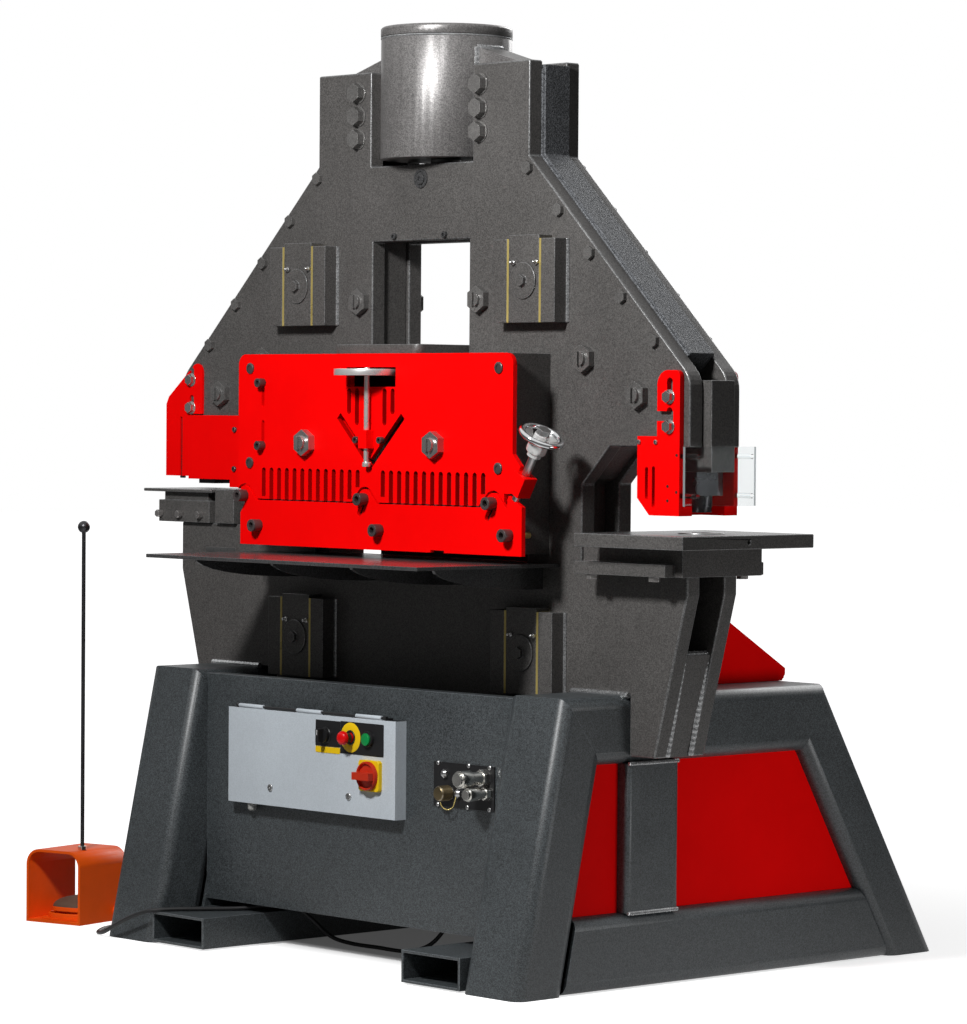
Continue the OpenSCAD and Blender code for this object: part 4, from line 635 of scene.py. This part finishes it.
def add_cheek_welds():
    """Upright beads along both edges of each guide's cheeks, on both faces of the frame."""
    half_width, half_height, seam_y = 95, 87, PLATE_FACE + 1
    lines = [[(sx * GUIDE_X + hand * half_width, sy * seam_y, z + end * half_height) for end in SIDES]
             for sx in SIDES for sy in SIDES for z in GUIDE_HEIGHTS for hand in SIDES]
    piece("cheek_welds", [bead(on_frame(line), 4.5) for line in lines], "frame_paint", look="weld_glint_paint")


def add_spacer_welds():
    """Beads down the frame's upright and sloping edges, where the spacer bars meet the plates."""
    edge = [(343, 1300), (343, 1117), (780, 695)]
    beads = [bead(on_frame([(sx * x, sy * HALF_GAP, z) for x, z in edge]), 3.4)
             for sx in SIDES for sy in SIDES]
    piece("spacer_welds", beads, "frame_paint", look="spacer_paint")


def add_foot_welds():
    """Beads along the feet of the plates, and up the sides and across the tops of the fillers between."""
    feet, seam_y = ((486, 655), (-703, -534)), PLATE_FACE + 2
    filler_edge, filler_half = ((725, -122), (772, 86)), 34
    filler_top = (768, 87)
    beads = [bead(on_frame([(x, sy * seam_y, 1) for x in foot]), 7) for foot in feet for sy in SIDES]
    beads += [bead(on_frame([(sx * x, sy * filler_half, z) for x, z in filler_edge]), 8)
              for sx in SIDES for sy in SIDES]
    beads += [bead(on_frame([(sx * filler_top[0], sy * filler_half, filler_top[1]) for sy in SIDES]), 8)
              for sx in SIDES]
    piece("foot_welds", beads, "frame_paint", look="weld_glint_paint")


def add_base_welds():
    """Beads across the ends of the side posts, in places from the middle of the footprint."""
    post_face, post_edges, post_ends = 679, (-320, -176), (463, 155)
    beads = [bead([(sx * post_face, y, z) for y in post_edges], 4.2) for sx in SIDES for z in post_ends]
    piece("base_welds", beads, "base_paint", look="weld_glint_paint")


add_lug_welds()
add_cheek_welds()
add_spacer_welds()
add_foot_welds()
add_base_welds()


# Small fittings of the frame, as profiles of (radius, height, hex share)

SOCKET_HEAD = [(7.0, -0.5), (7.0, 6.2), (6.2, 7.2), (3.9, 7.2, 1), (3.7, 2.6, 1), (0.4, 2.4)]


def add_window_plug():
    """Bored plug in the plate above the window, and two socket screws just over the window."""
    plug = [
        (21, -0.5), (21, 2.6), (19.6, 4.2), (15.6, 4.2), (14.2, 2.2), (13.0, 2.2), (13.0, 5.0), (11.6, 6.4),
        (5.2, 6.4, 1), (5.0, 3.0, 1), (0.4, 2.8),
    ]
    plug_x, plug_z = 1, 1080
    screw_places, screw_z = (-83.5, 80), 957.5
    shapes = [turned(plug, on_frame((plug_x, -PLATE_FACE, plug_z)))]
    shapes += [turned(SOCKET_HEAD, on_frame((x, -PLATE_FACE, screw_z))) for x in screw_places]
    piece("window_plug", shapes, "frame_paint", look="table_paint")


def add_grease_nipples():
    """Two grease nipples in the upper part of each guide of the ram, on the front and the rear."""
    nipple = [
        (5.6, -0.5, 1), (5.6, 4.5, 1), (3.4, 5.5), (3.4, 8.0), (2.2, 9.5), (3.2, 11.5), (3.0, 13.2),
        (1.6, 14.4), (0.4, 14.6),
    ]
    guide_face, above, beside = 110, 38, (-29, 41)
    spots = [(sx * GUIDE_X + dx, 0, z + above) for sx in SIDES for z in GUIDE_HEIGHTS for dx in beside]
    faces = [copies(turned(nipple, on_frame((0, axis[1] * guide_face, 0)), axis, 24), spots)
             for axis in (FRONT, REAR)]
    piece("grease_nipples", faces, "bare_steel", "ram")


def add_guard_screw_rims():
    """Dished heads of the guard plate's corner screws."""
    head = [(11.9, -1.0), (11.9, 1.0), (10.6, 2.0), (7.0, 2.0, 1), (6.6, 0.2, 1), (0.4, 0.1)]
    screw_x, screw_heights, screw_face = 405, (670, 462), GUARD_FACE - 2.5
    rims = [turned(head, on_frame((sx * screw_x, screw_face, z))) for sx in SIDES for z in screw_heights]
    piece("guard_screw_rims", rims, "black_steel", look="screw_steel")


def add_cover_screws():
    """Two small socket screws in the red cover of the notcher."""
    head = [(6.0, -0.5), (6.0, 4.6), (5.2, 5.4), (3.2, 5.4, 1), (3.0, 2.0, 1), (0.4, 1.9)]
    cover_face, places = -86, ((-613, 533), (-614, 444))
    screws = [turned(head, on_frame((x, cover_face, z))) for x, z in places]
    piece("cover_screws", screws, "black_steel", look="screw_steel")


def add_stripper_fittings():
    """Screws and plugs in the stripper's front plate, and the red web between its two plates."""
    face = -84.3
    screw_places = ((690, 520), (738, 520))
    plug_places = ((772, 431), (772, 401.5), (797, 494), (797, 419.5))
    web_x, web_z, web_wide, web_high, web_thick = 727, 425.5, 144, 68, 8
    head = [(4.8, -0.5), (4.8, 3.2), (4.0, 4.0), (2.6, 4.0, 1), (2.4, 1.4, 1), (0.3, 1.3)]
    screws = [turned(head, on_frame((x, face, z))) for x, z in screw_places]
    piece("stripper_screws", screws, "bare_steel", "stripper_unit")
    plug = [(3.0, -0.5), (3.0, 0.3), (0.3, 0.3)]
    plugs = [turned(plug, on_frame((x, face, z))) for x, z in plug_places]
    piece("stripper_plugs", plugs, "black_steel", "stripper_unit")
    web = carried(soft_rect(web_wide, web_high, 2), on_frame((web_x, 0, web_z)), REAR, UP, web_thick)
    piece("stripper_web", [web], "guard_paint", "stripper_unit", edge=0.8)


def add_notch_guard_shade_sheets():
    """Dark sheets behind the slots of the notcher's guard, on the front and the rear: painted shade for the
    shaded inside seen through the slots.
    """
    slot_x, slot_z, shade_sheet_face = -821.5, 493, 72.2
    outline = soft_rect(19, 146, 2)
    shade_sheets = [carried(outline, on_frame((slot_x, face[1] * shade_sheet_face, slot_z)), right, UP, 2)
              for face, right in ((FRONT, RIGHT), (REAR, LEFT))]
    # Painted shade behind the slots
    piece("notch_guard_shade_sheets", shade_sheets, "black_steel", "notch_guard_unit", edge=0.4)


def add_slot_curtain():
    """Rubber strip that hangs behind the bar slot's exit from a screwed steel bar."""
    middle, width = 19, 652
    strip_face, strip_z, strip_high, strip_thick = 91, 281, 62, 3
    bar_face, bar_z, bar_high, bar_thick = 97, 318, 20, 25
    screw_places = (-280, -80, 120, 318)
    strip_at = on_frame((middle, strip_face, strip_z))
    strip = carried(soft_rect(width, strip_high, 3), strip_at, LEFT, UP, strip_thick)
    piece("slot_curtain", [strip], "cord_rubber", edge=0.5)
    bar = carried(soft_rect(width, bar_high, 3), on_frame((middle, bar_face, bar_z)), LEFT, UP, bar_thick)
    piece("curtain_bar", [bar], "frame_paint", edge=0.8)
    screws = [turned(SOCKET_HEAD, on_frame((x, bar_face, bar_z)), REAR) for x in screw_places]
    piece("curtain_screws", screws, "black_steel")


def add_handwheel():
    """Chromed handwheel on the inclined screw: a round rim, three dished spokes and a stepped hub.

    The rim is (R + r sin t) outward and r cos t along the axis, carried round. A spoke is the section of
    a dish, h = -14 + 16 ((r - 17) / 24)^1.6 with a thickness, carried through part of a turn.
    """
    centre, axis = np.array([551.0, -453.5, 1129.9]), (0.5, 0.0, 0.8660254)
    u, w, a = basis(axis)

    def carried_round(turns, reach, rise):
        """Section carried round the wheel: centre + reach (cos t u + sin t w) + rise a."""
        outward = np.cos(turns)[:, None] * u + np.sin(turns)[:, None] * w
        return centre + outward[:, None] * reach[None, :, None] + (rise[:, None] * a)[None]

    rim_r, rim_rise, round_r = 43.0, 3.0, 6.6
    t = around(20)
    rim = looped(carried_round(around(72), rim_r + round_r * np.sin(t), rim_rise + round_r * np.cos(t)))
    hub_r, dish_r, half_thick = 17, 41, 1.6
    spoke_start, spoke_turn = 0.9, 1.45
    reach = np.linspace(hub_r, dish_r, 9)
    dish = -14.0 + 16.0 * ((reach - hub_r) / (dish_r - hub_r)) ** 1.6
    section = (np.concatenate([reach, reach[::-1]]),
               np.concatenate([dish + half_thick, dish[::-1] - half_thick]))
    spokes = [capped(carried_round(np.linspace(start, start + spoke_turn, 18), *section))
              for start in spoke_start + around(3)]
    hub = [
        (13.5, -45), (15.0, -44), (15.0, -35), (20.0, -34), (21.5, -32), (21.5, -14), (19.5, -11.5),
        (16.0, -11.0), (16.0, 7.0), (15.0, 8.0), (9.2, 8.0),
    ]
    wheel = piece("handwheel_rim", [rim], "chrome", "hold_screw")
    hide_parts("holddown_wheel")
    dished = [*spokes, turned(hub, centre, axis, 40)]
    piece("handwheel_dish", dished, "chrome", "hold_screw", look="bright_alloy")


def add_holddown_nut():
    """Plated stud and nut behind the hold-down plate's outer bolt."""
    nut = [(13.0, 0.0, 1), (13.0, 11.0, 1), (10.8, 12.0), (7.0, 12.0), (7.0, 44.0), (6.0, 46.0), (0.4, 46.2)]
    plate_rear = on_frame((438.5, -200.1, 324))
    piece("holddown_nut", [turned(nut, plate_rear, REAR)], "brass", "hold_plate")


def add_feed_rule():
    """Thin steel rule beside the feed table, with a tick every 5 mm and a longer one every 25 mm."""
    x, y, z = on_frame((-679.5, -PLATE_FACE, 258.3))
    rule_long, rule_high, rule_thick = 107, 10.6, 1.2
    tick_foot, tick_wide, tick_thick = -4.3, 0.7, 0.12
    rule = sheet_on_front(x, z, rule_long, rule_high, y, rule_thick, 0.8)
    piece("feed_rule", [rule], "bare_steel", edge=0.2)
    along = np.arange(-50, 51, 5.0)
    long = np.mod(along, 25) == 0
    ticks = []
    for h, places in ((6.5, along[long]), (3.6, along[~long])):
        middle = z + tick_foot + h / 2
        tick = sheet_on_front(x, middle, tick_wide, h, y - rule_thick, tick_thick, 0.1)
        ticks.append(copies(tick, places[:, None] * RIGHT))
    piece("feed_rule_ticks", ticks, "black_plastic")


add_window_plug()
add_grease_nipples()
add_guard_screw_rims()
add_cover_screws()
add_stripper_fittings()
add_notch_guard_shade_sheets()
add_slot_curtain()
add_handwheel()
add_holddown_nut()
add_feed_rule()


# Controls, at their places x and z on the lid

SELECTOR_AT, ESTOP_AT, START_AT = (-62.0, 484), (20.7, 484), (79.9, 484)
DISCONNECT_AT = (88.84, 407)


def turned_on_lid(profile, place, lift=0.0, steps=36):
    """Profile turned about the forward axis through a place on the lid, lifted off its face."""
    return turned(profile, (place[0], LID_FACE - lift, place[1]), steps=steps)


def ring_on_lid(rows, place, lift, steps):
    """Rows of radius and height carried round a place on the lid: (x + r sin t, face - h, z + r cos t)."""
    t = around(steps)
    rings = [np.stack([place[0] + r * np.sin(t), LID_FACE - lift - h + 0 * t, place[1] + r * np.cos(t)], 1)
             for r, h in rows]
    return looped(np.stack(rings)[:, ::-1])


def add_legend_plates():
    """Blank black plates under the buttons, and the yellow ones.

    The frame of the disconnect is a square, 33 / max(|cos t|, |sin t|), with its corners cut at a radius.
    """
    thick = 1.0
    selector_plate, button_plate, yellow_strip = (
        sheet_on_front(x, z, w, h, LID_FACE, thick)
        for x, z, w, h in ((-55.5, 488, 81, 56), (56.5, 483, 141, 69), (-55.5, 452.5, 81, 13))
    )
    piece("legend_plates", [selector_plate, button_plate], "black_plastic", "lid", edge=0.25)
    disc = [(32, 0), (32, 0.8), (31.4, 1.2), (13, 1.2), (13, 0.6), (0.5, 0.6)]
    half, corner_r, bore = 33.0, 43.5, 24.6
    t = around(96)
    square = np.minimum(half / np.maximum(np.abs(np.cos(t)), np.abs(np.sin(t))), corner_r)
    rows = [(square, 0.0), (square, 9.0), (square - 1.0, 10.0), (bore, 10.0), (bore, 0.0)]
    yellow_disc = turned_on_lid(disc, ESTOP_AT, 0.9, 48)
    yellow_frame = ring_on_lid(rows, DISCONNECT_AT, 0.0, 96)
    yellow = [yellow_strip, yellow_disc, yellow_frame]
    piece("yellow_plates", yellow, "switch_gear", "lid", look="yellow_plastic")


def add_button_collars():
    """Black collars of the start button, the selector and the emergency stop, and the white pointer."""
    start = [(16.5, 0), (16.5, 7.0), (15.6, 8.2), (13.6, 8.2), (13.6, 1.0), (12.6, 0.9)]
    selector = [(17.5, 0), (17.5, 1.6), (16.6, 2.4), (15.4, 2.4), (15.4, 0.2), (12.0, 0.1)]
    estop = [(16.0, 0), (16.0, 1.6), (15.2, 2.4), (12.8, 2.4), (12.8, 0.4), (12.4, 0.3)]
    collars = [turned_on_lid(start, START_AT, 0.9), turned_on_lid(selector, SELECTOR_AT, 0.9),
               turned_on_lid(estop, ESTOP_AT, 2.0)]
    piece("button_collars", collars, "black_plastic", "lid")
    knob_face = LID_FACE - 26.0
    pointer = sheet_on_front(SELECTOR_AT[0], SELECTOR_AT[1] + 7, 1.6, 11, knob_face, 0.3, 0.4)
    piece("selector_pointer", [pointer], "switch_gear", "selector", look="white_mark")


def add_estop():
    """Stem and mushroom of the emergency stop, from the solid's depth.

    The crown has the radius 15 cos(t)^0.7 at the height depth + 0.5 + 8.5 sin t.
    """
    low, high = (np.array(corner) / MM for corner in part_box("estop_button"))
    depth = high[1] - low[1]
    foot = (ESTOP_AT[0], high[1], ESTOP_AT[1])
    stem = [(10.6, 16.0), (10.6, depth - 7.0), (12.2, depth - 6.0), (12.2, depth - 4.0), (10.0, depth - 3.8)]
    piece("estop_stem", [turned(stem, foot)], "black_plastic", "estop")
    t = np.linspace(0, math.pi / 2, 10)[1:-1]
    crown = zip(15.0 * np.cos(t) ** 0.7, depth + 0.5 + 8.5 * np.sin(t))
    head = [
        (10.4, 0.0), (10.4, depth - 5.0), (13.4, depth - 5.0), (14.8, depth - 3.6), (15.0, depth - 1.6),
        *crown, (0.6, depth + 9.0),
    ]
    mushroom = piece("estop_mushroom", [turned(head, foot, steps=48)], "red_plastic", "estop")
    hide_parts("estop_button")


def add_lid_locks():
    """Two quarter-turn locks along the lower edge of the lid."""
    lock = [(8.0, -0.4), (8.0, 2.2), (7.0, 3.0), (3.0, 3.0, 1), (2.8, 1.4, 1), (0.4, 1.3)]
    lock_places, lock_z = (-248.3, 14.6), 357.3
    locks = [turned_on_lid(lock, (x, lock_z), steps=24) for x in lock_places]
    piece("lid_locks", locks, "bare_steel", "lid")


def add_disconnect_shroud():
    """Red ring round the handle of the disconnect."""
    rows = [
        (31.0, 0.0), (31.0, 7.0), (29.6, 9.0), (27.2, 9.0), (26.0, 7.6), (25.0, 3.0), (23.1, 2.4),
        (23.1, 0.0),
    ]
    shroud = ring_on_lid(rows, DISCONNECT_AT, 10.6, 48)
    piece("disconnect_shroud", [shroud], "red_plastic", "disconnect", look="rotary_red")


def add_box_gland():
    """Cable gland under the control box."""
    gland = [(11, 0, 1), (11, 7, 1), (9.4, 8), (9.4, 13), (7.0, 17), (4.6, 18), (4.2, 18)]
    under_box = (-331, -489, 317.7)
    piece("box_gland", [turned(gland, under_box, DOWN)], "switch_gear")


def add_coupler_fittings():
    """Corner screws of the coupler plate, a ribbed brass dust cap, blind plugs, and the cap's bead chain.

    The cap's radius is 16 + 0.45 cos, with a rib every 3 mm, and the chain's is 0.45 + 1.15 |sin|, with
    a bead every 3.6 mm.
    """
    face = PANEL_FACE - 3.0
    head = [(4.6, -0.4), (4.6, 1.4), (3.4, 2.4), (1.6, 2.4, 1), (1.5, 1.2, 1), (0.3, 1.1)]
    screw_places = ((270, 446), (365, 446), (430, 446), (270, 359), (362, 359), (430, 359))
    screws = [turned(head, (x, face, z), steps=24) for x, z in screw_places]
    piece("coupler_screws", screws, "bare_steel")
    cap_x, cap_z = 303.8, 385.0
    h = np.linspace(3, 27, 25)
    ribs = zip(16.0 + 0.45 * np.cos(h * TURN / 3), h)
    cap = [(15.2, 0.5), *ribs, (15.2, 29.5), (13.0, 31.5), (0.5, 32.0)]
    piece("dust_cap", [turned(cap, (cap_x, face, cap_z), steps=40)], "brass", look="dull_brass")
    plug = [(9.5, -0.4, 1), (9.5, 6.5, 1), (7.6, 7.5), (5.6, 10.0), (3.0, 11.0), (0.4, 11.2)]
    plug_places = ((294, 425), (336, 386))
    piece("blind_plugs", [turned(plug, (x, face, z)) for x, z in plug_places], "bare_steel")
    hang = [(2, -26, -16.5), (6, -24, -27), (16, -18, -33), (27, -12, -26), (32.2, -9, -5)]
    line, t = evenly(smooth_line(np.array(hang) + (cap_x, face, cap_z), 12), 0.55)
    piece("bead_chain", [swept(line, 0.45 + 1.15 * np.abs(np.sin(t * math.pi / 3.6)), 8)], "brass")


add_legend_plates()
add_button_collars()
add_estop()
add_lid_locks()
add_disconnect_shroud()
add_box_gland()
add_coupler_fittings()


# Foot switch

# Middle of the treadle, behind the middle of the foot switch
TREADLE_BACK = 4.0


def add_treadle():
    """Foot treadle, brown with wear on top: a hollow dome on a soft oval, down its inside, up its outside.

    The oval is drawn in with the share of the height s by (1 - s^3.4)^0.45. The rim rises to the front, and
    the crown a little to the rear.
    """
    worn_above = 33.0
    t = around(64)
    s = np.linspace(0, 0.985, 16)[:, None]
    drawn_in = (1 - s ** 3.4) ** 0.45
    shells = []
    for a, b, top, order in ((46.0, 50.0, 52.0, -1), (50.0, 54.0, 56.0, 1)):
        x, y = soft_oval(a * drawn_in, b * drawn_in, t)
        y = y + TREADLE_BACK
        rim, crown = 12.0 + 0.115 * (58.0 - y), top + 0.05 * y
        shells.append(on_switch(x, y, (1 - s) * rim + s * crown)[::order])
    treadle = piece("pedal_treadle", [capped(np.concatenate(shells))], "orange_paint", "pedal_unit")
    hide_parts("pedal")
    mesh = treadle.data
    mesh.materials.append(FINISHES["tread_rubber"])
    middles = np.empty(3 * len(mesh.polygons))
    mesh.polygons.foreach_get("center", middles)
    mesh.polygons.foreach_set("material_index", (middles[2::3] > worn_above * MM).astype(np.int32))


def add_treadle_plate():
    """Plate under the treadle with a block in the middle and a raised rim on a soft oval."""
    slabs = [carried(soft_rect(w, h, r), on_switch(0, TREADLE_BACK, top), SWITCH_RIGHT, SWITCH_BACK, depth)
             for w, h, r, top, depth in ((126, 132, 20, 8.5, 2.4), (80, 88, 26, 25.0, 17))]
    rows = [(58.0, 63.0, 8.3), (58.0, 63.0, 18.0), (56.0, 61.0, 20.0), (53.0, 58.0, 20.0), (53.0, 58.0, 8.3)]
    a, b, z = np.array(rows).T[..., None]
    x, y = soft_oval(a, b, around(64))
    rim = looped(on_switch(x, y + TREADLE_BACK, z + 0 * x))
    piece("treadle_plate", [*slabs, rim], "orange_paint", edge=0.8)


add_treadle()
add_treadle_plate()


# Floor, backdrop and lamps, in metres

def worked(tree, kind, *values):
    """Result of a maths step on sockets or numbers."""
    node = tree.nodes.new("ShaderNodeMath")
    node.operation = kind
    for socket, value in zip(node.inputs, values):
        if isinstance(value, float):
            socket.default_value = value
        else:
            tree.links.new(value, socket)
    return node.outputs[0]


def seen_directly(tree, path):
    """One for the camera's rays, also through the clear sheet, and none for rays off a matt surface."""
    fresh = worked(tree, "LESS_THAN", path.outputs["Diffuse Depth"], 0.5)
    through = worked(tree, "MULTIPLY", path.outputs["Is Transmission Ray"], fresh)
    return worked(tree, "MAXIMUM", path.outputs["Is Camera Ray"], through)


def floor_white(tree, path, direct):
    """Strength of the white that the floor adds to the rays that see it.

    For the camera it grows from 0.72 beside the machine to 1 at 2.3 metres, where little lamp light falls.
    For mirror-like rays it is a pool round the machine. Both fade under the base, a painted shadow where no
    lamp light falls.
    """
    place = tree.nodes.new("ShaderNodeTexCoord").outputs["Object"]
    apart = tree.nodes.new("ShaderNodeVectorMath")
    apart.operation = "LENGTH"
    tree.links.new(place, apart.inputs[0])
    distance = apart.outputs["Value"]
    axes = tree.nodes.new("ShaderNodeSeparateXYZ")
    tree.links.new(place, axes.inputs[0])
    base_half = (("X", 0.62), ("Y", 0.42))
    beyond = [worked(tree, "SUBTRACT", worked(tree, "ABSOLUTE", axes.outputs[axis]), half)
              for axis, half in base_half]
    # Painted shadow under the base: the added white fades there
    painted_base_shadow = spread(tree, worked(tree, "MAXIMUM", *beyond), -0.06, 0.06, 0.08, 1.0)
    growing = spread(tree, distance, 0.9, 2.3, 0.72, 1.0)
    fading = spread(tree, distance, 1.0, 2.3, 0.7, 0.05)
    seen = worked(tree, "MULTIPLY", direct, growing)
    pool = worked(tree, "MULTIPLY", path.outputs["Is Glossy Ray"], fading)
    return worked(tree, "MULTIPLY", worked(tree, "ADD", seen, pool), painted_base_shadow)


def add_floor():
    """Pale matt floor with its added white, and a grey one for the rays that light the machine."""
    half = 30.0
    mesh = bpy.data.meshes.new("floor")
    corners = [(-half, -half, 0), (half, -half, 0), (half, half, 0), (-half, half, 0)]
    mesh.from_pydata(corners, [], [(0, 1, 2, 3)])
    matt = bpy.data.materials.new("floor")
    matt.use_nodes = True
    tree = matt.node_tree
    tree.nodes.remove(tree.nodes["Principled BSDF"])
    path = tree.nodes.new("ShaderNodeLightPath")
    direct = seen_directly(tree, path)
    white = tree.nodes.new("ShaderNodeEmission")
    tree.links.new(floor_white(tree, path, direct), white.inputs["Strength"])
    pick = tree.nodes.new("ShaderNodeMixShader")
    tree.links.new(direct, pick.inputs[0])
    for tone, socket in ((0.30, pick.inputs[1]), (0.85, pick.inputs[2])):
        coat = tree.nodes.new("ShaderNodeBsdfDiffuse")
        coat.inputs["Color"].default_value = (tone, tone, tone, 1.0)
        tree.links.new(coat.outputs[0], socket)
    both = tree.nodes.new("ShaderNodeAddShader")
    tree.links.new(pick.outputs[0], both.inputs[0])
    tree.links.new(white.outputs[0], both.inputs[1])
    tree.links.new(both.outputs[0], tree.nodes["Material Output"].inputs["Surface"])
    mesh.materials.append(matt)
    floor = bpy.data.objects.new("floor", mesh)
    scene.collection.objects.link(floor)


def add_backdrop():
    """White backdrop for the rays that see it directly, and a dim even sky for the light on the machine.

    To mirror-like rays it is bright overhead and in a patch behind the machine, as seen from the camera.
    """
    world = bpy.data.worlds.new("studio")
    world.use_nodes = True
    tree = world.node_tree
    sky = tree.nodes["Background"]
    sky.inputs["Color"].default_value = (1.0, 1.0, 1.0, 1.0)
    axes = tree.nodes.new("ShaderNodeSeparateXYZ")
    tree.links.new(tree.nodes.new("ShaderNodeTexCoord").outputs["Generated"], axes.inputs[0])
    path = tree.nodes.new("ShaderNodeLightPath")
    direct = seen_directly(tree, path)
    away = worked(tree, "SUBTRACT", worked(tree, "MULTIPLY", axes.outputs["Y"], 0.675),
                  worked(tree, "MULTIPLY", axes.outputs["X"], 0.738))
    behind = spread(tree, away, 0.80, 0.97, 0.0, 0.85)
    overhead = spread(tree, axes.outputs["Z"], 0.12, 0.6, 0.04, 0.9)
    mirrored = worked(tree, "MULTIPLY", path.outputs["Is Glossy Ray"],
                      worked(tree, "MAXIMUM", overhead, behind))
    soft = worked(tree, "MAXIMUM", spread(tree, direct, 0.0, 1.0, 0.06, 1.0), mirrored)
    tree.links.new(soft, sky.inputs["Strength"])
    scene.world = world


def facing(place, towards):
    """World matrix of a lamp at a place, shining at a point."""
    place = np.asarray(place, float)
    u, w, a = basis(place - np.asarray(towards, float))
    return Matrix(np.vstack([np.column_stack([u, w, a, place]), [0, 0, 0, 1]]).tolist())


def add_lamp(name, kind, place, towards, energy, softness, beam=math.pi):
    """Sun or square area lamp, with its softness as an angle or a side, and a grid that narrows its beam."""
    data = bpy.data.lights.new(name, kind)
    data.energy = energy
    if kind == "SUN":
        data.angle = softness
    else:
        data.size = softness
        data.spread = beam
    lamp = bpy.data.objects.new(name, data)
    lamp.visible_camera = False
    scene.collection.objects.link(lamp)
    lamp.matrix_world = facing(place, towards)


add_floor()
add_backdrop()
add_lamp("front_key", "AREA", (0.8, -2.6, 2.5), (0, -0.3, 1.1), 86, 0.36)
add_lamp("low_side_fill", "AREA", (2.5, 0.15, 0.35), (0.6, 0.15, 0.3), 1.7, 0.5, math.radians(75))
add_lamp("rear_fill", "SUN", (-1.6, 5.0, 3.0), (0, 0, 1.0), 0.95, 0.5)
